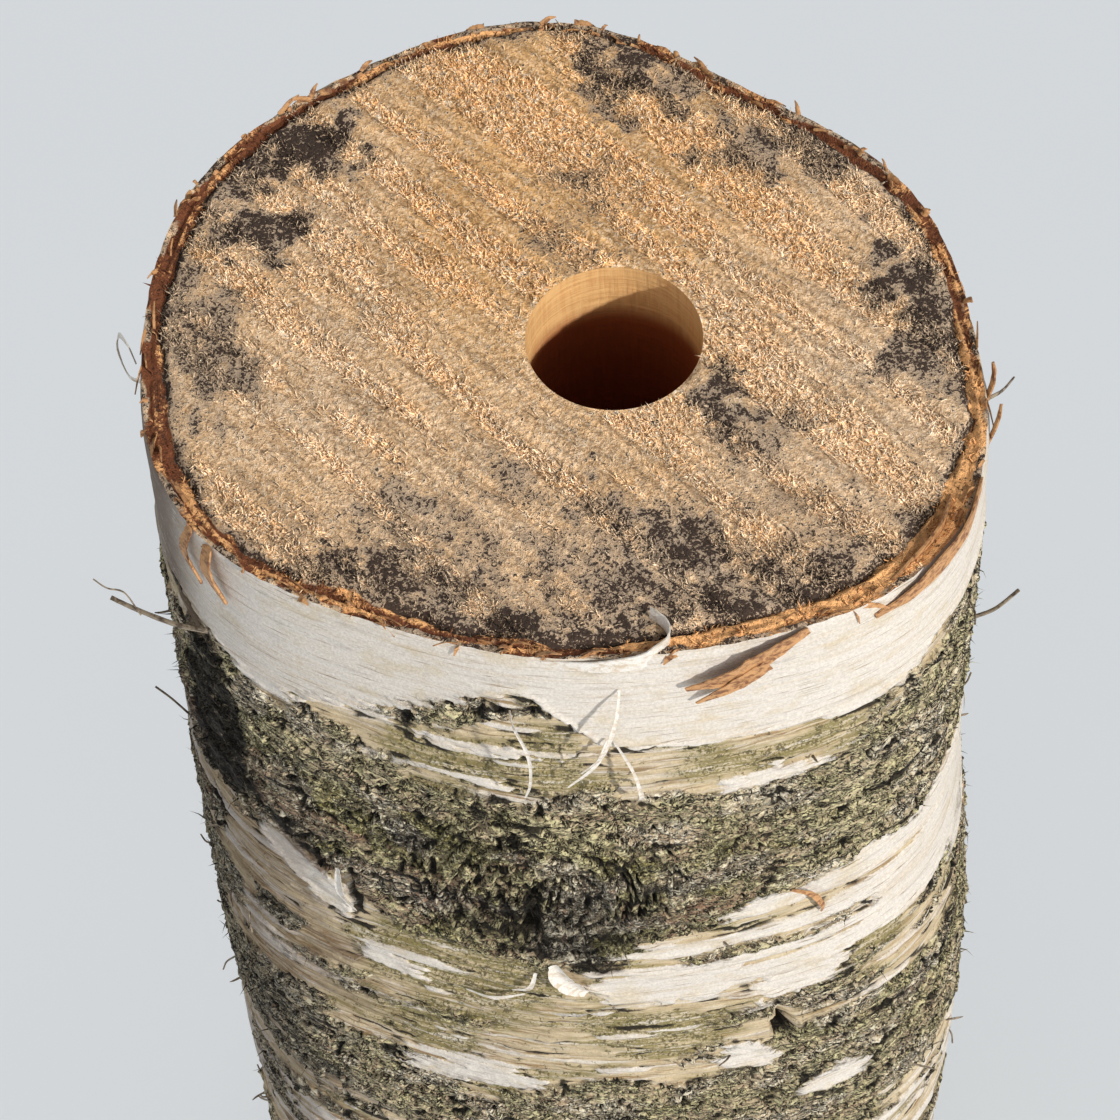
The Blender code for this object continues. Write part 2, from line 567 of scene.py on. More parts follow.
@dataclass(frozen=True)
class HoleFinish:
    """Fresh drilled wood, warm orange brown, with the drill's fine rings, painted darker further down the
    hole as painted shade.
    """

    light: tuple = (0.80, 0.49, 0.21)
    dark: tuple = (0.54, 0.27, 0.10)
    # deep is the colour of the painted shade further down the hole.
    deep: tuple = (0.30, 0.080, 0.026)
    mouth: float = 0.250

    def painted_hole_shade(self, sheet: Sheet) -> Sum:
        """The painted shade down the hole, from 0 at the mouth to 1 further down."""
        split = sheet.node("ShaderNodeSeparateXYZ", {}, {"Vector": sheet.place}, "Z")
        return sheet.step(0.0 - split, 0.0065 - self.mouth, 0.0110 - self.mouth)

    def material(self) -> bpy.types.Material:
        """Builds the drilled wood's material."""
        sheet = Sheet("drilled_wood")
        rings = sheet.noise((8.0, 8.0, 0.3), 3.0, 0.6)
        grain = sheet.noise((0.5, 0.5, 6.0), 3.0, 0.6)
        parts = self.painted_hole_shade(sheet)
        colour = sheet.mix(self.light, self.dark, sheet.step(rings * 0.5 + grain * 0.5, 0.42, 0.62) * 0.7)
        # Painted shade: the wall is painted darker further down the hole.
        colour = sheet.mix(colour, self.deep, parts)
        colour = sheet.tint(colour, 0.80 + grain * 0.40)
        return sheet.dress(colour, 0.75, rings * 0.6 + grain * 0.5, 0.25)


class PeelKind(Enum):
    """What a loose strip is made of."""

    PAPER = "paper"
    INNER_BARK = "inner_bark"
    TWIG = "twig"


@dataclass(frozen=True)
class PeelFinish:
    """A loose strip's finish, streaked along a light and a dark tone."""

    kind: PeelKind
    light: tuple
    dark: tuple

    def material(self) -> bpy.types.Material:
        """Builds the strip's material."""
        sheet = Sheet("loose_" + self.kind.value)
        streak = sheet.noise((1.2, 1.2, 0.8), 4.0, 0.65, 0.6)
        hair = sheet.noise((0.3, 0.3, 0.3), 2.0)
        colour = sheet.mix(self.light, self.dark, sheet.step(streak, 0.42, 0.66))
        colour = sheet.tint(colour, 0.8 + hair * 0.4)
        return sheet.dress(colour, 0.6, streak * 0.5 + hair * 0.4, 0.15)


@dataclass(frozen=True)
class FloorFinish:
    """A plain pale floor."""

    colour: tuple = (0.825, 0.855, 0.875)

    def material(self) -> bpy.types.Material:
        """Builds the floor's material."""
        sheet = Sheet("pale_floor")
        wash = sheet.noise((160.0, 160.0, 160.0), 2.0)
        colour = sheet.tint(sheet.mix(self.colour, self.colour, 0.0), 0.97 + wash * 0.06)
        return sheet.dress(colour, 0.9, wash, 0.01)


# ---------------------------------------------------------------- meshes


@dataclass
class Grid:
    """Rows of points that make one sheet of four-sided faces.

    Attributes:
        points: The points in metres, rows by columns by three.
        normals: The direction that each point faces, or None for Blender's own.
        colours: Colour attributes by name, each rows by columns by three.
        closed: Whether the last column meets the first.
    """

    points: np.ndarray
    normals: np.ndarray | None = None
    colours: dict = field(default_factory=dict)
    closed: bool = False

    def faces(self) -> np.ndarray:
        """The corner numbers of every face, in order for faces that look outwards."""
        rows, columns = self.points.shape[:2]
        numbers = np.arange(rows * columns).reshape(rows, columns)
        left = numbers if self.closed else numbers[:, :-1]
        right = np.roll(numbers, -1, axis=1) if self.closed else numbers[:, 1:]
        corners = (left[:-1], left[1:], right[1:], right[:-1])
        return np.stack(corners, axis=-1).reshape(-1, 4)

    def mesh(self, name: str, material: bpy.types.Material, unwrap: np.ndarray) -> bpy.types.Object:
        """Makes the sheet an object.

        Args:
            name: The piece's name.
            material: Its finish.
            unwrap: Each point's place on the piece's own flat map, from 0 to 1.

        Returns:
            The object, in place.
        """
        faces = self.faces()
        made = bpy.data.meshes.new(name)
        made.vertices.add(self.points.shape[0] * self.points.shape[1])
        made.vertices.foreach_set("co", self.points.astype(np.float32).ravel())
        made.loops.add(faces.size)
        made.loops.foreach_set("vertex_index", faces.astype(np.int32).ravel())
        made.polygons.add(len(faces))
        made.polygons.foreach_set("loop_start", np.arange(0, faces.size, 4, dtype=np.int32))
        made.update(calc_edges=True)
        made.shade_smooth()
        flat = made.uv_layers.new(name=FLAT_MAP)
        flat.data.foreach_set("uv", unwrap.reshape(-1, 2)[faces.ravel()].astype(np.float32).ravel())
        for key, values in self.colours.items():
            layer = made.attributes.new(key, "FLOAT_COLOR", "POINT")
            rgba = np.ones((values.shape[0] * values.shape[1], 4), np.float32)
            rgba[:, :3] = values.reshape(-1, 3)
            layer.data.foreach_set("color", rgba.ravel())
        if self.normals is not None:
            made.normals_split_custom_set_from_vertices(self.normals.reshape(-1, 3).tolist())
        made.materials.append(material)
        piece = bpy.data.objects.new(name, made)
        bpy.context.scene.collection.objects.link(piece)
        return piece


def facing(points: np.ndarray) -> np.ndarray:
    """The direction that each point of a sheet faces, where its columns close on themselves."""
    round_log = np.roll(points, -1, axis=1) - np.roll(points, 1, axis=1)
    down = np.gradient(points, axis=0)
    normal = np.cross(down, round_log)
    return normal / np.maximum(np.linalg.norm(normal, axis=2, keepdims=True), 1e-12)


def settle(piece: bpy.types.Object, stands_for_log: bool = False) -> bpy.types.Object:
    """Fixes a finished piece to the log's body and reports it.

    Args:
        piece: The finished piece.
        stands_for_log: Whether it stands for the solid log.

    Returns:
        The same piece.
    """
    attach(piece, BODY)
    if stands_for_log:
        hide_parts(LOG_NODE)
    piece.data.calc_loop_triangles()
    log.info("%s: %d triangles", piece.name, len(piece.data.loop_triangles))
    return piece


# ---------------------------------------------------------------- the log's form


@dataclass
class LogForm:
    """The log's outline, in millimetres, the same as the solid log's.

    Attributes:
        mean_radius: The radius that the waves go round.
        waves: How many waves round the log, and their cosine and sine parts.
        swellings: Angle, depth, reach round in degrees, reach along, and how far they stand out.
        front_columns: How many points cross the front, where the relief is finest.
        back_columns: How many points cross the rest.
        front_edges: The angles at which the front starts and ends.
    """

    mean_radius: float = 50.4
    waves: tuple = ((1, 0.17, 0.53), (2, 1.79, -2.48), (3, -0.13, -1.77),
                    (4, -0.24, 0.19), (5, -0.16, 0.35), (6, -0.80, 0.33))
    swellings: tuple = (
        (-95.0, 46.0, 26.0, 20.0, 1.6), (-18.0, 62.0, 36.0, 20.0, -1.0),
        (-16.0, 126.0, 38.0, 28.0, 2.2), (-160.0, 100.0, 42.0, 44.0, 1.2),
        (120.0, 185.0, 30.0, 26.0, 1.6), (60.0, 60.0, 36.0, 30.0, 1.0),
        (-120.0, 215.0, 36.0, 24.0, -1.2))
    front_columns: int = 460
    back_columns: int = 308
    front_edges: tuple = (-168.0, -12.0)
    height: float = field(init=False)
    centre: np.ndarray = field(init=False)
    hole_centre: np.ndarray = field(init=False)
    hole_floor: float = field(init=False)

    def __post_init__(self) -> None:
        """Reads the height and the hole's place from the frame, and centres the outline."""
        low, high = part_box(LOG_NODE)
        self.height = (high.z - low.z) / MM
        turn, depth = np.meshgrid(np.arange(0.0, FULL_TURN, 1.0), np.linspace(0.0, self.height, 60))
        radius = self.radius(turn, depth)
        across, along = radius * np.cos(np.radians(turn)), radius * np.sin(np.radians(turn))
        self.centre = np.array([(across.min() + across.max()) / 2, (along.min() + along.max()) / 2])
        floor = next(m for m in frame["record"]["mounts"] if m["name"] == "hole_floor")
        self.hole_centre = np.array(floor["pos_m"][:2]) / MM
        self.hole_floor = floor["pos_m"][2] / MM

    @property
    def girth(self) -> float:
        """The log's mean girth."""
        return 2 * math.pi * self.mean_radius

    def radius(self, turn: np.ndarray, depth: np.ndarray) -> np.ndarray:
        """The log's radius at an angle in degrees and a depth below the top."""
        angle = np.radians(turn)
        total = np.full(np.broadcast(turn, depth).shape, self.mean_radius)
        for count, cosine, sine in self.waves:
            total = total + cosine * np.cos(count * angle) + sine * np.sin(count * angle)
        for centre, middle, round_reach, long_reach, amount in self.swellings:
            away = (turn - centre + HALF_TURN) % FULL_TURN - HALF_TURN
            near = np.exp(-0.5 * (away / round_reach) ** 2 - 0.5 * ((depth - middle) / long_reach) ** 2)
            total = total + amount * near
        return total

    def points(self, turn: np.ndarray, depth: np.ndarray, lift: np.ndarray) -> np.ndarray:
        """Points on or off the bark, in metres.

        Args:
            turn: The angle round the log in degrees.
            depth: How far below the top.
            lift: How far out from the log's plain outline.

        Returns:
            The points, with x, y and z last.
        """
        turn, depth, lift = np.broadcast_arrays(turn, depth, lift)
        radius = self.radius(turn, depth) + lift
        angle = np.radians(turn)
        across = radius * np.cos(angle) - self.centre[0]
        along = radius * np.sin(angle) - self.centre[1]
        return np.stack((across, along, self.height - depth), axis=-1) * MM

    def turns(self) -> np.ndarray:
        """The angles of the columns of points round the log, closer together on the front."""
        start, end = self.front_edges
        front = np.linspace(start, end, self.front_columns, endpoint=False)
        back = np.linspace(end, start + FULL_TURN, self.back_columns, endpoint=False)
        return np.concatenate((front, back))


# ---------------------------------------------------------------- bark


def round_line(points: tuple, turn: np.ndarray) -> np.ndarray:
    """A line round the log through a few angles and depths, closed on itself."""
    angles, depths = zip(*points)
    return np.interp(turn, angles, depths, period=FULL_TURN)


@dataclass
class Bark:
    """The whole skin of bark, from the rim of the sawn top to the foot.

    Attributes:
        form: The log's outline.
        upper_rows: How many rows of points the upper half has.
        lower_rows: How many rows of points the lower half has.
        white_edge: Where the top white band ends, as angle and depth.
        belts: The upper and lower edges of the bands of fissured cork.
        scars: Where branches grew: angle, depth and how far their arcs reach.
        pits: Rotted holes, as patches with a depth each, also painted dark inside as painted shade.
        papers: Crisp patches of white paper.
        greens: Olive patches.
        clefts: Deep shaded folds, painted almost black as painted shade.
        chips: Small patches of cork away from the belts.
        sectors: Each upright strip of bark: its name, and its first and last columns.
        fullness: How square a patch is: 2 is an ellipse, and more is fuller at the corners.
        plate_step: How far one plate of cork stands above the next, in millimetres.
        lip_height: How far the lips of the cracks stand up.
        arc_height: How far the arcs round a scar stand up.
        crack_depth: How deep the cracks in the cork are.
        pore_height: How far the breathing pores stand up.
        slit_depth: How deep the slits in the aged bark are.
    """

    form: LogForm
    upper_rows: int = 420
    lower_rows: int = 228
    white_edge: tuple = (
        (-180, 24), (-160, 19), (-150, 20), (-140, 26), (-130, 22), (-120, 18), (-112, 13),
        (-105, 10), (-98, 8), (-92, 13), (-87, 18), (-75, 20), (-52, 21), (-44, 22), (-37, 17), (-20, 15),
        (10, 24), (40, 30), (70, 26), (100, 36), (130, 42), (155, 30))
    belts: tuple = (
        (((-180, 34), (-160, 27), (-145, 24), (-128, 26), (-118, 31), (-100, 31), (-90, 29),
          (-78, 29), (-70, 33), (-52, 32), (-44, 27), (-36, 19), (-20, 18), (0, 28), (30, 44), (60, 56),
          (100, 60), (130, 54), (155, 42)),
         ((-180, 56), (-160, 60), (-140, 60), (-130, 64), (-118, 72), (-100, 73), (-91, 75),
          (-85, 70), (-73, 65), (-58, 60), (-38, 58), (-28, 54), (-10, 53), (20, 55), (50, 54),
          (100, 58), (130, 62), (155, 60))),
        (((-180, 104), (-160, 100), (-140, 103), (-120, 107), (-112, 111), (-97, 107), (-88, 101),
          (-70, 101), (-50, 98), (-38, 90), (-20, 86), (0, 84), (30, 90), (60, 100), (90, 96),
          (120, 92), (150, 100)),
         ((-180, 128), (-140, 134), (-90, 142), (-45, 134), (0, 120), (45, 124), (90, 136),
          (135, 122))),
        (((-180, 176), (-120, 184), (-60, 190), (0, 180), (50, 166), (90, 152), (130, 162)),
         ((-180, 192), (-120, 198), (-60, 206), (0, 202), (50, 204), (90, 208), (130, 196))),
        (((-180, 238), (-120, 230), (-60, 238), (0, 232), (60, 240), (120, 228)),
         ((-180, 262), (0, 262))),
        (((-130, 60), (-124, 19), (-118, 16), (-98, 8.5), (-94, 12), (-88, 60)),
         ((-130, 0), (-124, 19), (-118, 20.5), (-110, 18.5), (-103, 15), (-97, 12), (-93, 12), (-88, 0))))
    scars: tuple = ((-97.0, 54.0, 19.0), (84.0, 180.0, 19.0), (8.0, 102.0, 10.0), (176.0, 114.0, 11.0))
    pits: tuple = (
        (Patch(-100.5, 64.0, 2.8, 2.2, 0.2), 4.5), (Patch(-98.4, 58.0, 0.7, 3.6, 0.3), 1.4),
        (Patch(-60.0, 99.5, 1.3, 4.6, -0.5), 4.5), (Patch(84.0, 186.0, 2.4, 2.6), 5.0),
        (Patch(86.0, 176.0, 0.8, 6.0), 2.0), (Patch(8.0, 104.0, 1.6, 2.0), 3.0),
        (Patch(176.0, 116.0, 1.4, 2.0), 3.0), (Patch(-129.0, 67.0, 0.8, 4.5, -0.4), 2.0))
    papers: tuple = (
        Patch(-78.0, 80.0, 10.5, 4.4, 0.02), Patch(-58.0, 85.5, 7.0, 3.8, 0.25),
        Patch(-65.0, 103.5, 4.4, 3.2, -0.3), Patch(-110.0, 109.0, 12.0, 2.7, 0.1),
        Patch(-63.0, 30.5, 6.0, 1.7), Patch(-110.0, 21.0, 9.0, 0.7, 0.05),
        Patch(-107.5, 28.2, 6.0, 0.7, 0.05), Patch(-53.0, 116.0, 4.5, 2.6),
        Patch(-123.5, 82.5, 5.5, 1.8, -0.15), Patch(-36.0, 74.0, 9.0, 7.0, 0.2),
        Patch(-136.5, 66.5, 6.8, 4.4, -0.75), Patch(-20.0, 68.0, 12.0, 8.0, 0.1))
    clefts: tuple = (
        Patch(-152.0, 43.0, 6.0, 15.0), Patch(-141.5, 55.5, 8.0, 2.0, -1.2),
        Patch(-90.0, 73.5, 3.0, 1.2, -0.3), Patch(-154.0, 24.0, 4.0, 3.0, -0.5))
    chips: tuple = (
        Patch(-47.0, 24.0, 1.5, 2.5, 0.6), Patch(-42.0, 21.0, 1.6, 2.4, 0.5),
        Patch(-146.0, 21.0, 4.5, 1.8), Patch(-58.0, 90.5, 7.0, 1.8, 0.3), Patch(-52.0, 94.0, 5.0, 2.2),
        Patch(-96.0, 113.0, 4.0, 4.5), Patch(-166.0, 74.0, 10.0, 6.0, 0.3),
        Patch(-161.0, 88.0, 7.0, 7.0, -0.3), Patch(-168.0, 98.0, 8.0, 6.0, 0.2),
        Patch(-136.0, 92.0, 5.0, 1.4, 0.2), Patch(-120.0, 94.5, 7.0, 0.9, 0.1),
        Patch(-34.0, 84.0, 6.0, 1.6, 0.3), Patch(-64.0, 74.5, 6.0, 0.5), Patch(-145.0, 84.0, 4.0, 3.0),
        Patch(-120.0, 29.5, 3.0, 1.2))
    greens: tuple = (
        Patch(-113.0, 80.5, 17.0, 8.5, 0.1), Patch(-80.0, 93.0, 12.5, 5.8),
        Patch(-118.0, 102.0, 5.0, 3.6, 0.2), Patch(-104.0, 24.5, 17.0, 5.5),
        Patch(-62.0, 26.0, 13.0, 3.0), Patch(-46.0, 84.0, 6.0, 5.0, 0.3), Patch(-96.0, 17.0, 5.0, 3.6),
        Patch(-112.0, 93.0, 13.0, 3.2, 0.1), Patch(-126.0, 98.0, 12.0, 4.0, 0.1))
    sectors: tuple = (("front_left", 0, 230), ("front_right", 230, 460),
                      ("back_right", 460, 614), ("back_left", 614, 768))
    fullness: float = 2.6
    plate_step: float = 0.55
    lip_height: float = 0.42
    arc_height: float = 0.60
    crack_depth: float = 1.15
    pore_height: float = 0.22
    slit_depth: float = 0.30
    lift: np.ndarray = field(init=False)

    def __post_init__(self) -> None:
        """Lays out the map of the bark."""
        turn = self.form.turns()
        half = self.form.height / 2
        upper = np.linspace(0.0, half, self.upper_rows, endpoint=False)
        lower = np.linspace(half, self.form.height, self.lower_rows + 1)
        self.turn, self.depth = np.meshgrid(turn, np.concatenate((upper, lower)))
        across = (self.turn - turn[0]) / FULL_TURN * self.form.girth
        self.skin = Skin(across, self.depth, self.form.girth)
        self.per_degree = self.form.girth / FULL_TURN

    def offset(self, turn: float) -> np.ndarray:
        """How far each point is round the log from an angle, in millimetres."""
        return ((self.turn - turn + HALF_TURN) % FULL_TURN - HALF_TURN) * self.per_degree

    def spot(self, patch: Patch, ragged: np.ndarray) -> np.ndarray:
        """How far inside a patch each point is, in millimetres, with a ragged edge."""
        across = self.offset(patch.turn)
        along = self.depth - patch.depth + patch.rise * across
        wide, tall = np.abs(across) / patch.wide, np.abs(along) / patch.tall
        shape = wide ** self.fullness + tall ** self.fullness
        return (1.0 - shape ** (1 / self.fullness)) * min(patch.wide, patch.tall) + ragged

    def join(self, patches: tuple, ragged: np.ndarray) -> np.ndarray:
        """How far inside the nearest of several patches each point is."""
        total = np.full(self.turn.shape, FAR_OUTSIDE)
        for patch in patches:
            total = np.maximum(total, self.spot(patch, ragged))
        return total

    def in_front(self) -> np.ndarray:
        """A mask for the part whose every patch is listed one by one."""
        middle, half_width, foot = -93.0, 75.0, 128.0
        across = half_width - np.abs((self.turn - middle + HALF_TURN) % FULL_TURN - HALF_TURN)
        return inside(across, 8.0) * inside(foot - self.depth, 6.0)

    def lay_zones(self) -> None:
        """Decides where the white paper, the cork and the moss are."""
        skin = self.skin
        ragged = 1.9 * skin.grain(9.0, 5.0, 11, 3) + 0.7 * skin.grain(1.6, 1.0, 12, 2)
        level = skin.grain(34.0, 3.4, 13, 4)
        front = self.in_front()
        fray = soft_step(-self.offset(-96.0), -3.0, 6.0) * 1.5 + 0.7
        top_edge = round_line(self.white_edge, self.turn) - self.depth
        self.top_band = top_edge + fray * skin.grain(13.0, 1.0, 53, 3) + 0.6 * ragged
        cork = np.full(self.turn.shape, FAR_OUTSIDE)
        gaps = 9.0 * soft_step(skin.grain(30.0, 9.0, 56, 3), 0.02, 0.40)
        gaps = gaps * soft_step(self.depth, 84.0, 92.0)
        for upper, lower in self.belts:
            top, foot = round_line(upper, self.turn), round_line(lower, self.turn)
            cork = np.maximum(cork, np.minimum(self.depth - top, foot - self.depth) - gaps)
        blots = 9.0 * skin.grain(30.0, 11.0, 14, 3) - 3.6
        cork = np.maximum(cork, blend(blots, FAR_OUTSIDE, front))
        cork = cork + 1.5 * ragged + 2.2 * skin.grain(8.0, 1.6, 19, 3)
        cork = np.maximum(cork, self.join(self.chips, 1.1 * ragged))
        paper = self.join(self.papers, 0.7 * ragged + 1.1 * skin.grain(11.0, 0.9, 54, 3))
        cork = np.minimum(cork, -np.maximum(self.top_band, paper))
        wild = 6.0 * level + 3.0 * skin.grain(40.0, 16.0, 15, 2) - 1.4
        lighter = soft_step(self.offset(-92.0), -4.0, 6.0)
        lighter = lighter * soft_step(self.depth, 53.0, 59.0) * (1.0 - soft_step(self.depth, 82.0, 87.0))
        paper = np.maximum(paper, blend(wild, 4.0 * level - 2.3 + 3.1 * lighter, front))
        paper = np.maximum(paper, self.top_band)
        self.cork = inside(cork, 1.0)
        self.paper_depth = paper
        self.white = inside(paper, 0.30) * (1.0 - self.cork)
        green = self.join(self.greens, 1.2 * ragged)
        green = np.maximum(green, 4.0 * skin.grain(16.0, 6.0, 16, 3) - 1.6)
        high_cork = soft_step(skin.grain(12.0, 8.0, 17, 3), -0.36, 0.06)
        # Darker on the left flank, the side away from the key light: partly dirt and partly painted
        # shade.
        flank = -self.offset(-128.0)
        flank = flank + 10.0 * skin.grain(18.0, 8.0, 61, 3)
        dirt_and_shade = soft_step(flank, 0.0, 10.0) * (1.0 - soft_step(flank, 26.0, 56.0))
        # The left edge of the white band near the rim, which the soot mask paints with shade.
        uneven = self.offset(-147.0) + 16.0 * skin.grain(16.0, 6.0, 60, 3)
        self.near_rim = (1.0 - soft_step(self.depth, 14.0, 30.0)) * (1.0 - soft_step(-uneven, 16.0, 44.0))
        self.dirt_and_shade = dirt_and_shade * soft_step(self.depth, 30.0, 66.0) * (1.0 - soft_step(self.depth, 150.0, 180.0))
        self.moss = blend(inside(green, 1.2), high_cork, self.cork) * (1.0 - 0.8 * self.dirt_and_shade)
        streaks = soft_step(skin.grain(18.0, 1.3, 18, 3), -0.25, 0.45)
        pale = 0.9 * soft_step(self.offset(-66.0), -6.0, 12.0)
        pale = pale + 0.60 * (1.0 - soft_step(self.depth, 36.0, 46.0))
        pale = blend(pale, 0.55, soft_step(self.depth, 78.0, 90.0))
        pale = pale * soft_step(60.0 - np.abs(self.offset(-90.0)), -20.0, 0.0)
        pale = np.clip(pale + 0.45 * skin.grain(11.0, 7.0, 20, 3) + 0.10, 0.0, 1.0)
        weathered = soft_step(-self.offset(-95.0), 0.0, 10.0) * soft_step(self.depth, 58.0, 66.0)
        streaks = np.clip(streaks + 0.45 * weathered * self.in_front(), 0.0, 1.0)
        self.tan = blend(streaks, pale, self.cork)
        self.ragged = ragged

    def lay_cork(self) -> tuple[np.ndarray, np.ndarray]:
        """Shapes the fissured cork.

        Returns:
            Its height, and how deep in a crack each point is from 0 to 1.
        """
        bend = 1.4 * self.skin.grain(7.0, 7.0, 21, 3), 2.0 * self.skin.grain(6.0, 6.0, 22, 3)
        climb = np.interp((self.turn + 75.0) % FULL_TURN, (0.0, 55.0, FULL_TURN), (0.0, 27.0, 0.0))
        bent = self.skin.moved(bend[0], bend[1] + climb)
        wide, wide_tint = bent.plates(9.0, 3.6, 23)
        split = soft_step(self.skin.grain(9.0, 7.0, 27, 2), -0.25, 0.45)
        fine_split = soft_step(self.skin.grain(4.0, 3.0, 28, 2), -0.30, 0.30)
        wide_crack = (1.0 - soft_step(wide, 0.02, 0.13)) * split
        height = self.plate_step * (wide_tint - 0.5) * soft_step(wide, 0.0, 0.12)
        fold = bent.grain(5.5, 1.7, 24, 2)
        slim_crack = (1.0 - soft_step(np.abs(fold), 0.03, 0.17)) * fine_split
        lip = np.exp(-((fold - 0.26) / 0.09) ** 2) * fine_split
        for turn, depth, reach in self.scars:
            across, along = self.offset(turn), (self.depth - depth) * 0.85
            ring, spin = np.hypot(across, along), np.arctan2(along, across)
            near = 1.0 - soft_step(ring + 2.0 * bend[0], 0.75 * reach, 1.15 * reach)
            arcs = Skin(ring + 0.4 * bend[0], spin * reach * 0.7 + 0.5 * bend[1]).grain(1.5, 8.0, 25, 2)
            arc_crack = (1.0 - soft_step(np.abs(arcs), 0.04, 0.22)) * (0.55 + 0.45 * fine_split)
            slim_crack = blend(slim_crack, arc_crack, near)
            lip = blend(lip, np.exp(-((arcs - 0.28) / 0.10) ** 2), near)
            height = blend(height, self.arc_height * arcs, near)
        self.lip = lip
        # The lip channel is laid as a painted highlight by the bark's finish.
        self.plates = np.stack((wide_tint, np.clip(lip, 0, 1), np.zeros(lip.shape)), axis=-1)
        height = height + self.lip_height * lip
        crack = np.maximum(wide_crack, 0.85 * slim_crack)
        rough = 0.26 * self.skin.grain(1.2, 0.9, 26, 3) + 0.45 * self.skin.grain(10.0, 7.0, 29, 2)
        return 0.60 + height + rough - self.crack_depth * crack, crack

    def shape(self) -> None:
        """Works out the relief of the whole skin, and the masks that its finish reads."""
        self.lay_zones()
        skin, edge = self.skin, self.paper_depth
        cork_height, crack = self.lay_cork()
        wave = skin.grain(22.0, 2.6, 31, 3)
        paper_height = 0.34 + 0.10 * wave + 0.32 * np.exp(-((edge - 0.5) / 0.8) ** 2)
        torn = skin.grain(9.0, 0.9, 32, 3)
        aged_height = 0.26 * torn + 0.10 * wave + 0.16 * soft_step(torn, 0.10, 0.22)
        aged_height = aged_height + 0.14 * self.moss * skin.grain(1.1, 0.9, 33, 2)
        lift = blend(aged_height, paper_height, self.white)
        lift = blend(lift, cork_height, self.cork)
        pores = skin.dashes(11.0, 4.2, 0.75, 0.34, 34) * (1.0 - self.cork)
        pores = pores * blend(0.9, 0.25, self.in_front())
        lift = lift + self.pore_height * pores
        crack = crack * self.cork
        slits = soft_step(skin.grain(14.0, 1.1, 35, 2), 0.46, 0.60) * (1.0 - self.cork)
        lift = lift - self.slit_depth * slits * (1.0 - self.white)
        # Painted shadow: a dark line just outside the paper's edges, where the torn paper would shade the
        # bark.
        edge_shadow = np.exp(-((edge + 0.45) / 0.42) ** 2) * soft_step(skin.grain(7.0, 7.0, 36, 2), -0.15, 0.25)
        # The pits are hollowed and, through the crack mask, painted dark as painted shade.
        pit_shade = np.zeros(edge.shape)
        for patch, deep in self.pits:
            hollow = inside(self.spot(patch, 0.5 * self.ragged), 0.7)
            lift = lift - deep * hollow
            pit_shade = np.maximum(pit_shade, hollow)
        near_top = np.exp(-self.depth / 0.9)
        lift = lift * (1.0 - near_top) + near_top * (0.2 * skin.grain(3.0, 3.0, 37, 2))
        foot = np.exp(-(self.form.height - self.depth) / 0.9)
        self.lift = lift * (1.0 - foot)
        brown = 1.0 - self.white
        # The crack mask also carries the painted shade of the pits and the painted shadow along the
        # paper's edges.
        crack = np.clip(crack + pit_shade + 0.75 * slits * brown + 0.7 * edge_shadow * brown, 0, 1)
        # Painted shade: the clefts, the left edge of the white band and, with some dirt, the left flank
        # join the soot mask, beside the real soot of the pores and the scar's middle.
        shade = self.join(self.clefts, 0.8 * self.ragged)
        soot_and_shade = 1.2 * inside(shade, 1.0) + 0.75 * pores
        soot_and_shade = soot_and_shade + 0.5 * inside(self.spot(Patch(-97.0, 62.0, 15.0, 8.0), self.ragged), 3.0)
        soot_and_shade = soot_and_shade + 0.45 * self.dirt_and_shade + 0.95 * soft_step(-self.offset(-147.0), 0.0, 12.0) * self.near_rim
        clear = soft_step(self.depth, 3.0, 6.0) * soft_step(self.form.height - self.depth, 3.0, 6.0)
        self.rough = np.repeat((self.cork * clear)[..., None], 3, axis=-1)
        # Painted highlight: the tan mask is raised along the cork's lips, which the finish then lightens.
        self.tan = np.clip(self.tan + 0.7 * self.lip * self.cork, 0.0, 1.0)
        self.zones = np.stack((self.white, self.moss, self.cork), axis=-1)
        self.marks = np.stack((crack, self.tan, np.clip(soot_and_shade, 0, 1)), axis=-1)

    def build(self, finish: bpy.types.Material) -> list[bpy.types.Object]:
        """Cuts the skin into upright strips and makes each an object.

        Args:
            finish: The bark's material.

        Returns:
            The pieces, an upper and a lower one for each strip.
        """
        self.shape()
        self.surface = self.form.points(self.turn, self.depth, self.lift)
        normals = facing(self.surface)
        columns = self.turn.shape[1]
        last = self.upper_rows + self.lower_rows
        pieces = []
        for name, first, end in self.sectors:
            chosen = np.arange(first, end + 1) % columns
            for level, start, stop in (("upper", 0, self.upper_rows), ("lower", self.upper_rows, last)):
                rows = slice(start, stop + 1)
                names = ("zones", "marks", "plates", "rough")
                cut = {key: getattr(self, key)[rows][:, chosen] for key in names}
                grid = Grid(self.surface[rows][:, chosen], normals[rows][:, chosen], cut)
                across, down = np.meshgrid(np.linspace(0.01, 0.99, end - first + 1),
                                           np.linspace(0.99, 0.01, stop - start + 1))
                piece = grid.mesh(f"bark_{name}_{level}", finish, np.stack((across, down), axis=-1))
                pieces.append(settle(piece, True))
        return pieces


# ---------------------------------------------------------------- sawn ends and the hole


@dataclass(frozen=True)
class Blot:
    """A mould stain on the sawn top: its middle, half sizes in millimetres and strength."""

    across: float
    along: float
    wide: float
    tall: float
    strength: float = 1.0


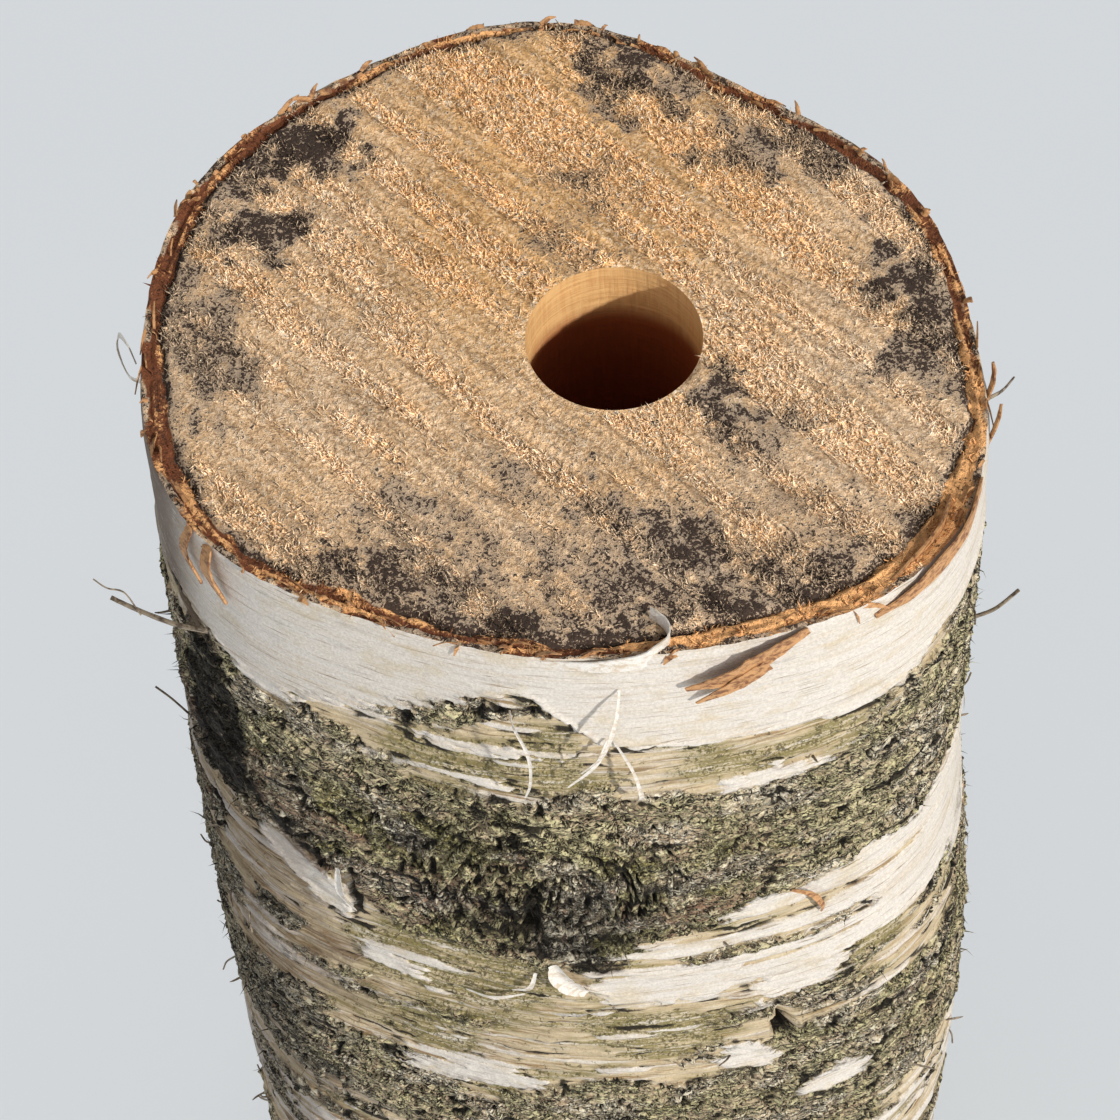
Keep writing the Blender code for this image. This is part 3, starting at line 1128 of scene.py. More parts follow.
@dataclass
class SawnTop:
    """The rough sawn top, from the drilled hole out to the bark's rim.

    Attributes:
        form: The log's outline.
        bark: The finished skin, whose top row is this face's rim.
        rings: How many rings of points go from the hole to the rim.
        hole_radius: The drilled hole's radius.
        saw_lean: The direction of the saw's marks, in degrees from +X.
        saw_pitch: How far apart the saw's marks are.
        rind: The width of the inner bark round the log, as angle and millimetres.
        rind_tone: How light the inner bark is round the log, as angle and a share from 0 to 1.
        blots: The mould stains.
    """

    form: LogForm
    bark: Bark
    rings: int = 122
    hole_radius: float = 11.0
    saw_lean: float = -47.0
    saw_pitch: float = 6.4
    rind: tuple = ((-180, 2.4), (-150, 2.8), (-125, 3.2), (-105, 1.9), (-90, 1.9), (-76, 3.4),
                   (-60, 2.8), (-40, 4.4), (-22, 2.6), (0, 1.8), (45, 1.4), (90, 1.4), (135, 1.9))
    rind_tone: tuple = ((-180, 0.1), (-150, 0.6), (-125, 0.6), (-105, 0.4), (-90, 0.6), (-76, 0.85),
                        (-60, 1.1), (-40, 1.5), (-22, 1.3), (0, 0.5), (45, 0.35), (90, 0.6), (135, 0.3))
    blots: tuple = (
        Blot(-31, 33, 7, 6), Blot(-38, 30, 5, 4, 0.7), Blot(-36, 19, 4.5, 3.5), Blot(-42, 22, 4, 4, 0.5),
        Blot(-43, 0, 6, 10, 0.6), Blot(-46, 10, 4, 5, 0.55), Blot(11, 44, 6, 5, 0.9),
        Blot(8, 38, 3, 3, 0.6), Blot(19, 40, 5, 4, 0.6), Blot(27, 30, 7, 5, 0.65),
        Blot(37, 27, 5, 6, 0.6), Blot(42, 9, 4, 5), Blot(46, 0, 4, 8, 0.9), Blot(44, -7, 5, 4, 0.8),
        Blot(20, -11, 4.5, 5, 0.8), Blot(24, -18, 5, 5, 0.45), Blot(-24, -33, 7, 4, 0.85),
        Blot(-16, -38, 8, 4, 0.75), Blot(-8, -42, 7, 3.5, 1.0), Blot(-20, -24, 5, 3, 0.5),
        Blot(3, -26, 5, 5, 0.6), Blot(8, -36, 6, 8, 0.7), Blot(14, -31, 4, 4, 0.85),
        Blot(17, -39, 6, 4, 0.9), Blot(25, -38, 6, 4, 0.8), Blot(31, -37, 6, 3.5, 0.8),
        Blot(-6, -20, 4, 4, 0.4), Blot(5, 24, 6, 5, 0.4), Blot(1, 15, 5, 4, 0.3), Blot(35, 38, 5, 4, 0.5),
        Blot(5, -43, 5, 2.5, 1.3))

    def shape(self) -> Grid:
        """Works out the face's points and masks."""
        angle = np.radians(self.form.turns())
        rim = self.bark.surface[0] / MM
        circle = np.stack((np.cos(angle), np.sin(angle)), axis=-1) * self.hole_radius
        hole = circle + self.form.hole_centre
        share = np.linspace(0.0, 1.0, self.rings + 1)[:, None, None]
        flat = blend(hole[None], rim[None, :, :2], share)
        x, y = flat[..., 0] + self.form.centre[0], flat[..., 1] + self.form.centre[1]
        skin = Skin(x, y)
        edge = self.form.radius(np.degrees(np.arctan2(y, x)), np.zeros(x.shape)) - np.hypot(x, y)
        lean = math.radians(self.saw_lean)
        over = -x * math.sin(lean) + y * math.cos(lean)
        ride = x * math.cos(lean) + y * math.sin(lean)
        swath = over + 1.1 * skin.grain(26.0, 26.0, 41, 2)
        stripe = 0.30 * np.sin(2 * math.pi * swath / self.saw_pitch + 0.5 * skin.grain(12.0, 12.0, 42, 2))
        stripe = stripe + 1.5 * Skin(ride, swath).grain(60.0, 0.8 * self.saw_pitch, 49, 3)
        scratch = Skin(ride, over).grain(16.0, 0.9, 43, 3)
        ragged = skin.grain(4.0, 4.0, 44, 3)
        fuzz = skin.grain(0.9, 0.9, 45, 2)
        broad = skin.grain(18.0, 18.0, 46, 2)
        warm = 0.9 * np.exp(-((x - 2) / 22) ** 2 - ((y - 26) / 26) ** 2) - 0.12 * stripe + 0.25 * broad
        stain = np.zeros(x.shape)
        bent_x, bent_y = x + 5.0 * skin.grain(6.0, 6.0, 57, 3), y + 5.0 * skin.grain(6.0, 6.0, 58, 3)
        torn = 0.55 * ragged + 0.45 * skin.grain(1.7, 1.7, 59, 2)
        for blot in self.blots:
            away = np.hypot((bent_x - blot.across) / blot.wide, (bent_y - blot.along) / blot.tall)
            near = 1.0 - soft_step(away + torn, 0.35, 1.45)
            stain = np.maximum(stain, blot.strength * near)
        stain = np.maximum(stain, (0.30 + 0.35 * ragged) * soft_step(-y, 12.0, 34.0))
        rind = round_line(self.rind, np.degrees(np.arctan2(y, x)))
        near_rim = 1.0 - soft_step(edge, rind, rind + 3.2)
        stain = np.clip(np.maximum(stain, near_rim * (0.45 + 0.5 * ragged)), 0, 1)
        inner = rind + 0.5 * ragged + 0.9 * skin.grain(15.0, 15.0, 55, 2) - edge
        rim_line = inside(0.75 + 0.5 * ragged - edge, 0.15)
        rim_line = rim_line * soft_step(skin.grain(9.0, 9.0, 51, 2), -0.3, 0.1)
        bark = inside(inner, 0.35) * (1.0 - rim_line)
        gap = np.exp(-((inner + 0.1) / 0.40) ** 2) * soft_step(skin.grain(11.0, 11.0, 47, 2), -0.40, 0.0)
        fibre = skin.grain(1.2, 1.2, 48, 3)
        turn = np.degrees(np.arctan2(y, x))
        unrolled = Skin((turn + HALF_TURN) / FULL_TURN * self.form.girth, edge, self.form.girth)
        layers = unrolled.grain(12.0, 0.7, 50, 2)
        rind_tone = round_line(self.rind_tone, turn) + 0.45 * ragged + 0.7 * layers
        warm = blend(np.clip(warm + 0.35, 0, 1), rind_tone, bark)
        height = 0.30 * stripe + 0.14 * scratch + 0.16 * fuzz * (1 - 0.5 * stain) + 0.22 * broad
        height = blend(height, 0.20 * fibre + 0.55 * layers - 0.25, bark) - 0.9 * gap
        outward = share[..., 0] * np.ones(x.shape)
        height = height * (1.0 - np.exp(-edge / 0.35)) * soft_step(outward, 0.0, 0.02)
        self.tone = np.stack((warm, np.clip(stain + 0.9 * gap, 0, 1), bark), axis=-1)
        smooth_side = 0.5 * soft_step(-x - 0.5 * y, -18.0, 12.0)
        fluffy = soft_step(-stripe + 0.35 * broad - smooth_side + 0.35 * scratch, -0.38, 0.06)
        self.fluff = np.clip((0.03 + 0.97 * fluffy) * (1 - 0.4 * stain), 0, 1) * inside(edge - 0.5, 0.4)
        self.fluff = self.fluff * (1.0 - 0.75 * bark) * soft_step(outward, 0.01, 0.02)
        lift = self.form.height + height
        level = np.stack((flat[..., 0], flat[..., 1], lift), axis=-1)
        level[-1] = rim
        lines = np.clip(0.5 + 0.9 * scratch, 0, 1)
        masks = {"tone": self.tone, "fluff": np.repeat(self.fluff[..., None], 3, axis=-1),
                 "saw": np.stack((fluffy, lines, np.zeros(x.shape)), axis=-1)}
        return Grid(level * MM, None, masks, closed=True)

    def build(self, finish: bpy.types.Material) -> bpy.types.Object:
        """Makes the sawn top an object."""
        grid = self.shape()
        reach = 1.9 * self.form.mean_radius * 1.15 * MM
        unwrap = grid.points[..., :2] / reach + 0.5
        return settle(grid.mesh("sawn_top", finish, unwrap), True)


@dataclass
class SawnFoot:
    """The plain sawn face that the log stands on."""

    form: LogForm
    bark: Bark
    rings: int = 44
    rise: float = 0.5

    def build(self, finish: bpy.types.Material) -> bpy.types.Object:
        """Makes the sawn foot an object."""
        rim = self.bark.surface[-1] / MM
        share = np.linspace(0.0, 1.0, self.rings + 1)[:, None, None]
        middle = rim[:, :2].mean(axis=0)
        flat = blend(np.broadcast_to(middle, rim[:, :2].shape)[None], rim[None, :, :2], share)
        x, y = flat[..., 0], flat[..., 1]
        skin = Skin(x, y)
        lean = math.radians(28.0)
        over = -x * math.sin(lean) + y * math.cos(lean)
        ride = x * math.cos(lean) + y * math.sin(lean)
        scratch = Skin(ride, over + skin.grain(30.0, 30.0, 51)).grain(20.0, 1.4, 52, 3)
        edge = (1.0 - share[..., 0]) * np.hypot(*(rim[:, :2] - middle).T)[None]
        hollow = 0.22 + 0.12 * scratch + 0.10 * skin.grain(3.0, 3.0, 53, 3)
        hollow = hollow * (1.0 - np.exp(-edge / 0.6))
        ragged = skin.grain(5.0, 5.0, 54, 3)
        bark = inside(2.6 + 0.5 * ragged - edge, 0.35)
        stain = np.clip(0.9 * soft_step(ragged + skin.grain(20.0, 20.0, 55), 0.15, 0.9), 0, 1)
        stain = np.maximum(stain, 0.7 * (1.0 - soft_step(edge, 2.5, 6.0)))
        warm = 0.35 + 0.4 * skin.grain(22.0, 22.0, 56, 2)
        tone = np.stack((np.clip(warm, 0, 1), stain, bark), axis=-1)
        saw = np.stack((0.6 + 0.4 * scratch, np.clip(0.6 + 1.2 * scratch, 0, 1), bark), axis=-1)
        points = np.stack((x, y, np.maximum(hollow, 0.0) * self.rise), axis=-1)
        points[-1] = rim
        unwrap = points[..., :2] / (2.2 * self.form.mean_radius) + 0.5
        grid = Grid(points[::-1] * MM, None, {"tone": tone[::-1], "saw": saw[::-1]}, closed=True)
        return settle(grid.mesh("sawn_foot", finish, unwrap[::-1]), True)


@dataclass
class DrilledHole:
    """The drilled hole: its ringed wall and its floor."""

    form: LogForm
    radius: float = 11.0
    columns: int = 256
    rows: int = 120
    floor_rings: int = 24

    def build(self, finish: bpy.types.Material) -> bpy.types.Object:
        """Makes the wall and floor one object."""
        angle = np.arange(self.columns) * 2 * math.pi / self.columns
        down = np.linspace(0.0, 1.0, self.rows + 1)
        inward = np.linspace(1.0, 0.0, self.floor_rings + 1)[1:]
        deep = self.form.height - self.form.hole_floor
        depth = np.concatenate((down * deep, np.full(self.floor_rings, deep)))[:, None]
        reach = np.concatenate((np.ones(self.rows + 1), inward))[:, None]
        girth = 2 * math.pi * self.radius
        around = np.broadcast_to(angle * self.radius, (len(depth), self.columns))
        skin = Skin(around, depth + 0 * angle, girth)
        score = 0.05 * skin.grain(20.0, 0.7, 61, 2) + 0.07 * skin.grain(0.9, 5.0, 62, 2)
        score = score * soft_step(depth, 0.0, 0.6)
        radius = (self.radius + score) * reach
        dip = np.where(reach < 1.0, 0.25 * np.sin(reach * 40.0) * soft_step(reach, 0.0, 0.3), 0.0)
        x = radius * np.cos(angle) + self.form.hole_centre[0]
        y = radius * np.sin(angle) + self.form.hole_centre[1]
        z = self.form.height - depth + 0.4 * dip * (reach < 0.98) + 0 * angle
        points = np.stack((x, y, z), axis=-1)
        travel = np.concatenate((down, 1.0 + 0.3 * (1.0 - inward)))
        across, along = np.meshgrid(angle / (2 * math.pi) * 0.98 + 0.01, 1.0 - travel / 1.31)
        grid = Grid(points[::-1] * MM, None, {}, closed=True)
        unwrap = np.stack((across, along), axis=-1)[::-1]
        return settle(grid.mesh("drilled_hole", finish, unwrap), True)


# ---------------------------------------------------------------- loose strips


@dataclass(frozen=True)
class Strip:
    """A loose strip of bark or a hair, along a bent line.

    Attributes:
        path: Places that its line goes through: angle, depth below the top, lift off the outline.
        wide: Its width in millimetres at the start, the middle and the end.
        thick: Its thickness.
        cup: How far its edges curl, as a share of its width.
        lean: How its width is turned about its line, in degrees.
        upright: Whether its width stands upright, for a curl whose line runs in and out.
    """

    path: tuple
    wide: tuple = (1.0, 1.0, 0.2)
    thick: float = 0.12
    cup: float = 0.15
    lean: float = 0.0
    upright: bool = False

    def line(self, form: LogForm, steps: int) -> np.ndarray:
        """A smooth line through the strip's places, in metres."""
        knots = np.array(self.path, float)
        solid = form.points(knots[:, 0], knots[:, 1], knots[:, 2])
        ends = np.vstack((2 * solid[0] - solid[1], solid, 2 * solid[-1] - solid[-2]))
        spans = len(solid) - 1
        out = []
        for share in np.linspace(0.0, spans, steps):
            index = min(int(share), spans - 1)
            t = share - index
            a, b, c, d = ends[index:index + 4]
            out.append(0.5 * (2 * b + (c - a) * t + (2 * a - 5 * b + 4 * c - d) * t ** 2
                              + (3 * b - a - 3 * c + d) * t ** 3))
        return np.array(out)


@dataclass
class Strips:
    """Many loose strips joined into one piece for each material."""

    form: LogForm
    name: str
    steps: int = 18
    lanes: int = 4
    points: list = field(default_factory=list)
    faces: list = field(default_factory=list)

    def add(self, strip: Strip) -> None:
        """Adds one strip as a thin closed body, bent across its width."""
        line = strip.line(self.form, self.steps)
        along = np.gradient(line, axis=0)
        along /= np.maximum(np.linalg.norm(along, axis=1, keepdims=True), 1e-9)
        middle = np.array([-self.form.centre[0], -self.form.centre[1], 0.0]) * MM
        outward = line - middle
        outward[:, 2] = 0.0
        outward /= np.maximum(np.linalg.norm(outward, axis=1, keepdims=True), 1e-9)
        side = np.cross(along, outward)
        if strip.upright:
            side = np.array([0.0, 0.0, 1.0]) - along * along[:, 2:]
        side /= np.maximum(np.linalg.norm(side, axis=1, keepdims=True), 1e-9)
        face = np.cross(side, along)
        lean = math.radians(strip.lean)
        side, face = (side * math.cos(lean) + face * math.sin(lean),
                      face * math.cos(lean) - side * math.sin(lean))
        wide = np.interp(np.linspace(0, 1, self.steps), (0.0, 0.5, 1.0), strip.wide) * MM
        uneven = shuffled(np.arange(self.steps), np.full(self.steps, len(self.points)), 5)
        wide = wide * (0.86 + 0.28 * uneven)
        start = sum(len(block) for block in self.points)
        loops = []
        for layer in (0.5, -0.5):
            for lane in np.linspace(-0.5, 0.5, self.lanes + 1)[::1 if layer > 0 else -1]:
                bow = strip.cup * (4 * lane * lane - 1) * wide[:, None]
                offset = layer * strip.thick * MM * (1.0 - 0.5 * abs(2 * lane))
                loops.append(line + side * (lane * wide)[:, None] + face * (bow + offset))
        ring = np.stack(loops, axis=1)
        count = ring.shape[1]
        self.points.append(ring.reshape(-1, 3))
        for step in range(self.steps - 1):
            for lane in range(count):
                after = (lane + 1) % count
                low, high = start + step * count, start + (step + 1) * count
                self.faces.append((low + lane, low + after, high + after, high + lane))
        self.faces.append(tuple(start + lane for lane in range(count))[::-1])
        last = start + (self.steps - 1) * count
        self.faces.append(tuple(last + lane for lane in range(count)))

    def build(self, finish: bpy.types.Material) -> bpy.types.Object:
        """Makes all the strips one object."""
        made = bpy.data.meshes.new(self.name)
        made.from_pydata(np.vstack(self.points).tolist(), [], self.faces)
        made.validate()
        made.shade_smooth()
        made.set_sharp_from_angle(angle=math.radians(50))
        made.materials.append(finish)
        piece = bpy.data.objects.new(self.name, made)
        bpy.context.scene.collection.objects.link(piece)
        return settle(piece)


@dataclass
class LooseBark:
    """Every curl, strand, torn shred and hair that stands off the bark and the rim."""

    form: LogForm
    seed: int = 71
    rim_shreds: int = 150
    cork_hairs: int = 110
    paper: tuple = (
        Strip(((-84, 6, 0.6), (-85, 9, 3.0), (-87, 14, 4.4), (-90, 20, 3.0)), (0.3, 0.6, 0.2)),
        Strip(((-86, 16, 1.0), (-88, 19, 2.6), (-92, 24, 2.4)), (0.35, 0.6, 0.3)),
        Strip(((-85, 17, 0.8), (-83, 20, 3.0), (-82, 25, 3.4), (-82, 28, 2.2)), (0.25, 0.5, 0.9), 0.1),
        Strip(((-100, 11, 0.7), (-99, 10, 3.6), (-97, 14, 4.8), (-97, 21, 4.0), (-98, 26, 3.0)),
              (0.25, 0.5, 0.25), 0.1),
        Strip(((-77.5, -0.5, -5.4), (-75.8, -0.5, -3.6), (-76.2, -0.3, -1.4), (-80, 0.4, 0.3),
               (-87, 0.9, 0.6), (-95, 0.9, 0.1)),
              (3.0, 3.6, 1.0), 0.35, 0.05, 0.0, True),
        Strip(((-96, 73, 0.6), (-95, 75, 1.6), (-92.5, 78, 1.7), (-90.5, 80.5, 0.7)),
              (1.5, 3.4, 1.8), 0.2, 0.25),
        Strip(((-111, 84.3, 0.5), (-106, 83.2, 1.4), (-101, 82.0, 0.6)), (0.3, 0.9, 0.3)),
        Strip(((-99, 76, 0.4), (-100, 79, 1.2), (-103, 81, 0.8)), (0.4, 0.8, 0.3)),
        Strip(((-181, 5.0, 0.3), (-183, 6.0, 2.4), (-186, 4.4, 3.8), (-186.5, 2.0, 3.4),
               (-184, 1.0, 2.0), (-182, 2.4, 1.0)),
              (0.5, 0.8, 0.5)),
        Strip(((-131, 62, 0.4), (-130, 66, 1.6), (-128.5, 71, 0.8)), (0.8, 1.6, 0.5)),
        Strip(((60, 34, 0.3), (64, 37, 2.0), (70, 38, 2.4), (76, 36, 1.0)), (1.2, 2.4, 0.6)),
        Strip(((150, 70, 0.3), (146, 74, 2.2), (140, 76, 2.2), (134, 75, 1.0)), (1.4, 2.6, 0.6)),
        Strip(((20, 150, 0.3), (26, 152, 2.6), (33, 153, 1.8)), (1.4, 3.0, 0.8)),
        Strip(((-70, 168, 0.3), (-76, 171, 2.4), (-83, 172, 1.6)), (1.2, 2.8, 0.6)),
        Strip(((-130, 160, 0.3), (-124, 163, 2.0), (-116, 164, 1.4)), (1.0, 2.2, 0.6)))
    inner: tuple = (
        Strip(((-58, 0.3, 0.4), (-64, 2.0, 1.6), (-69, 4.4, 2.0), (-75, 6.2, 1.4)),
              (1.6, 4.2, 0.8), 0.35, 0.08),
        Strip(((-64, 4.0, 1.5), (-69, 6.6, 1.9), (-73.5, 9.6, 1.3)), (2.6, 2.6, 0.5), 0.3, 0.08),
        Strip(((-59.5, 61, 0.6), (-57, 62.5, 1.4), (-55.5, 66, 1.5), (-55, 69, 0.8)),
              (0.4, 1.0, 0.3), 0.25),
        Strip(((-147, -0.2, 0.6), (-146, 3.0, 1.8), (-144, 8.5, 1.2)), (1.6, 2.4, 0.7), 0.5, 0.1),
        Strip(((-151, -0.2, 0.4), (-151, 3.5, 1.6), (-149, 9.0, 1.0)), (1.2, 1.8, 0.4), 0.4, 0.1),
        Strip(((-30, 0.2, -2.6), (-36, -0.7, -1.6), (-45, 0.3, -1.2)), (1.2, 2.0, 0.5), 0.5, 0.1),
        Strip(((-26, 0.6, 0.2), (-34, 0.2, 0.9), (-43, 1.6, 0.9), (-49, 2.8, 0.5)),
              (2.4, 3.4, 0.8), 0.5, 0.05),
        Strip(((-12, 2.0, 0.4), (-10.5, -0.6, 1.4), (-9.5, -2.6, 1.2)), (1.6, 2.4, 0.4), 0.4),
        Strip(((-18, 3.0, 0.4), (-16.5, 0.2, 1.5), (-15, -1.4, 1.8)), (1.4, 2.0, 0.3), 0.4))
    twigs: tuple = (
        Strip(((-150, 21, 0.6), (-153, 20.5, 3.5), (-157, 19.5, 7.0), (-159, 18.6, 9.0)),
              (0.9, 0.7, 0.35), 0.6),
        Strip(((-156, 20, 6.5), (-158, 17, 7.5), (-158.5, 15.5, 9.4), (-160, 15.0, 10.5)),
              (0.3, 0.25, 0.12), 0.2),
        Strip(((-27, 29, 0.5), (-25, 28, 3.4), (-22, 27.0, 6.0)), (0.8, 0.6, 0.3), 0.5),
        Strip(((-165, 60, 0.5), (-168, 59, 2.6), (-170, 58.4, 4.4)), (0.4, 0.3, 0.15), 0.3),
        Strip(((-12, 2, 0.3), (-9.5, 3, 2.6), (-7, 3.4, 4.4)), (0.6, 0.4, 0.2), 0.3))

    def shreds(self, chance: np.random.Generator) -> list[Strip]:
        """Small torn shreds all round the rim."""
        made = []
        for _ in range(self.rim_shreds):
            turn = chance.uniform(-180.0, 180.0)
            drop, run = chance.uniform(-1.3, 2.6), chance.uniform(-4.0, 4.0)
            start = chance.uniform(-1.6, 0.1)
            out = chance.uniform(0.1, 0.9)
            path = ((turn, 0.1, start), (turn + 0.5 * run, 0.5 * drop - 0.35, start + 0.6 * out),
                    (turn + run, drop, start + 1.2 * out))
            wide = chance.uniform(0.35, 1.3)
            made.append(Strip(path, (wide, 0.8 * wide, 0.15), 0.16, 0.2,
                              chance.uniform(-50.0, 50.0)))
        return made

    def hairs(self, chance: np.random.Generator) -> list[Strip]:
        """Thin hairs and splinters that stand off the cork."""
        made = []
        for _ in range(self.cork_hairs):
            turn, depth = chance.uniform(-180.0, 180.0), chance.uniform(24.0, 240.0)
            run, drop = chance.uniform(-3.0, 3.0), chance.uniform(-2.5, 2.5)
            out = chance.uniform(0.8, 2.8)
            path = ((turn, depth, 0.2), (turn + 0.5 * run, depth + 0.3 * drop, 0.2 + 0.7 * out),
                    (turn + run, depth + drop, 0.2 + out))
            made.append(Strip(path, (0.35, 0.28, 0.1), 0.25))
        return made

    def build(self, finishes: dict) -> None:
        """Makes the paper, inner bark and twig pieces."""
        chance = np.random.default_rng(self.seed)
        sets = ((PeelKind.PAPER, "paper_curls", list(self.paper)),
                (PeelKind.INNER_BARK, "torn_inner_bark", list(self.inner) + self.shreds(chance)),
                (PeelKind.TWIG, "twigs_and_hairs", list(self.twigs) + self.hairs(chance)))
        for kind, name, strips in sets:
            bunch = Strips(self.form, name)
            for strip in strips:
                bunch.add(strip)
            bunch.build(finishes[kind])


# ---------------------------------------------------------------- fuzz


@dataclass(frozen=True)
class Fluff:
    """One growth of short fibres on a surface, made by a node tree.

    Attributes:
        name: The piece's name.
        mask: The attribute that says where they grow.
        per_mm2: How many grow on a square millimetre where the mask is 1.
        length: A fibre's length in millimetres.
        thick: A fibre's thickness at its root.
        tilt: The most that it leans, in degrees.
        seed: Which growth this is.
        around: Whether it is unwrapped round the log, and not from above.
    """

    name: str
    mask: str
    per_mm2: float
    length: float
    thick: float
    tilt: float
    seed: int
    around: bool = False

    def tree(self) -> bpy.types.NodeTree:
        """Builds the node tree that grows the fibres."""
        tree = bpy.data.node_groups.new(self.name + "_growth", "GeometryNodeTree")
        sockets = (("Surface", "INPUT", "NodeSocketGeometry"), ("Density", "INPUT", "NodeSocketFloat"),
                   ("Length", "INPUT", "NodeSocketFloat"), ("Thickness", "INPUT", "NodeSocketFloat"),
                   ("Tilt", "INPUT", "NodeSocketFloat"), ("Seed", "INPUT", "NodeSocketInt"),
                   ("Finish", "INPUT", "NodeSocketMaterial"), ("Fibres", "OUTPUT", "NodeSocketGeometry"))
        for name, way, kind in sockets:
            tree.interface.new_socket(name, in_out=way, socket_type=kind)
        nodes, links = tree.nodes, tree.links

        def add(kind: str, settings: dict, values: dict) -> bpy.types.Node:
            """Adds a node, its settings first, then its values and links."""
            made = nodes.new(kind)
            for name, value in settings.items():
                setattr(made, name, value)
            for name, value in values.items():
                if isinstance(value, bpy.types.NodeSocket):
                    links.new(value, made.inputs[name])
                else:
                    made.inputs[name].default_value = value
            return made

        def times(first: object, second: object) -> bpy.types.NodeSocket:
            """Adds a Math node that multiplies."""
            return add("ShaderNodeMath", {"operation": "MULTIPLY"}, {0: first, 1: second}).outputs[0]

        given = add("NodeGroupInput", {}, {}).outputs
        mask = add("GeometryNodeInputNamedAttribute", {"data_type": "FLOAT"}, {"Name": self.mask})
        dense = times(mask.outputs["Attribute"], given["Density"])
        spread = add("GeometryNodeDistributePointsOnFaces", {"distribute_method": "RANDOM"},
                     {"Mesh": given["Surface"], "Density": dense, "Seed": given["Seed"]})
        half = times(given["Thickness"], 0.5)
        cone = add("GeometryNodeMeshCone", {"fill_type": "TRIANGLE_FAN"},
                   {"Vertices": 3, "Side Segments": 2, "Fill Segments": 1, "Radius Top": 0.0,
                    "Radius Bottom": half, "Depth": given["Length"]})
        place = add("GeometryNodeInputPosition", {}, {})
        parts = add("ShaderNodeSeparateXYZ", {}, {0: place.outputs[0]})
        share = add("ShaderNodeMath", {"operation": "DIVIDE"},
                    {0: parts.outputs["Z"], 1: given["Length"]})
        square = times(share.outputs[0], share.outputs[0])
        kinds = []
        for bow in (0.15, 0.45, 0.8):
            push = times(square, times(given["Length"], bow))
            offset = add("ShaderNodeCombineXYZ", {}, {"X": push})
            bent = add("GeometryNodeSetPosition", {},
                       {"Geometry": cone.outputs["Mesh"], "Offset": offset.outputs[0]})
            kinds.append(add("GeometryNodeGeometryToInstance", {}, {"Geometry": bent.outputs[0]}))
        joined = add("GeometryNodeJoinGeometry", {}, {})
        for kind in kinds:
            links.new(kind.outputs[0], joined.inputs[0])
        pick = add("FunctionNodeRandomValue", {"data_type": "INT"}, {4: 0, 5: 2, "Seed": given["Seed"]})
        size = add("FunctionNodeRandomValue", {"data_type": "FLOAT"},
                   {2: 0.5, 3: 1.45, "Seed": given["Seed"]})
        back = times(given["Tilt"], -1.0)
        low = add("ShaderNodeCombineXYZ", {}, {"X": back, "Y": back, "Z": 0.0})
        high = add("ShaderNodeCombineXYZ", {}, {"X": given["Tilt"], "Y": given["Tilt"], "Z": 2 * math.pi})
        lean = add("FunctionNodeRandomValue", {"data_type": "FLOAT_VECTOR"},
                   {0: low.outputs[0], 1: high.outputs[0], "Seed": given["Seed"]})
        turned = add("FunctionNodeRotateRotation", {"rotation_space": "LOCAL"},
                     {0: spread.outputs["Rotation"], 1: lean.outputs[0]})
        grown = add("GeometryNodeInstanceOnPoints", {},
                    {"Points": spread.outputs["Points"], "Instance": joined.outputs[0],
                     "Pick Instance": True, "Instance Index": pick.outputs[2],
                     "Rotation": turned.outputs[0], "Scale": size.outputs[1]})
        real = add("GeometryNodeRealizeInstances", {}, {"Geometry": grown.outputs[0]})
        smooth = add("GeometryNodeSetShadeSmooth", {}, {"Geometry": real.outputs[0]})
        dressed = add("GeometryNodeSetMaterial", {},
                      {"Geometry": smooth.outputs[0], "Material": given["Finish"]})
        out = add("NodeGroupOutput", {}, {})
        links.new(dressed.outputs[0], out.inputs[0])
        return tree

    def grow(self, surface: bpy.types.Object, finish: bpy.types.Material) -> bpy.types.Object:
        """Grows the fibres on a surface and makes them a plain mesh.

        Args:
            surface: The piece that they grow on, which is left as it was.
            finish: Their material.

        Returns:
            The fibres' object.
        """
        tree = self.tree()
        modifier = surface.modifiers.new(self.name, "NODES")
        modifier.node_group = tree
        values = {"Density": self.per_mm2 / MM ** 2, "Length": self.length * MM,
                  "Thickness": self.thick * MM, "Tilt": math.radians(self.tilt),
                  "Seed": self.seed, "Finish": finish}
        for item in tree.interface.items_tree:
            if item.in_out == "INPUT" and item.name in values:
                modifier[item.identifier] = values[item.name]
        surface.update_tag()
        ready = surface.evaluated_get(bpy.context.evaluated_depsgraph_get())
        made = bpy.data.meshes.new_from_object(ready)
        surface.modifiers.remove(modifier)
        made.name = self.name
        if FLAT_MAP in made.attributes:
            made.attributes.remove(made.attributes[FLAT_MAP])
        flat = made.uv_layers.new(name=FLAT_MAP)
        place = np.zeros(len(made.vertices) * 3, np.float32)
        made.vertices.foreach_get("co", place)
        corner = np.zeros(len(made.loops), np.int32)
        made.loops.foreach_get("vertex_index", corner)
        spot = place.reshape(-1, 3)
        if self.around:
            turn = np.arctan2(spot[:, 0], -spot[:, 1])
            spot = np.stack((turn, spot[:, 2], spot[:, 2]), axis=-1)
        spot = spot[corner]
        low, high = spot.min(axis=0), spot.max(axis=0)
        flat.data.foreach_set("uv", ((spot - low) / np.maximum(high - low, 1e-6))[:, :2].ravel())
        piece = bpy.data.objects.new(self.name, made)
        bpy.context.scene.collection.objects.link(piece)
        return piece


# ---------------------------------------------------------------- studio


@dataclass(frozen=True)
class Lamp:
    """A soft disk light: its direction in degrees, distance and size in metres, and watts."""

    turn: float
    height: float
    distance: float
    size: float
    power: float
    colour: tuple = (1.0, 0.965, 0.91)


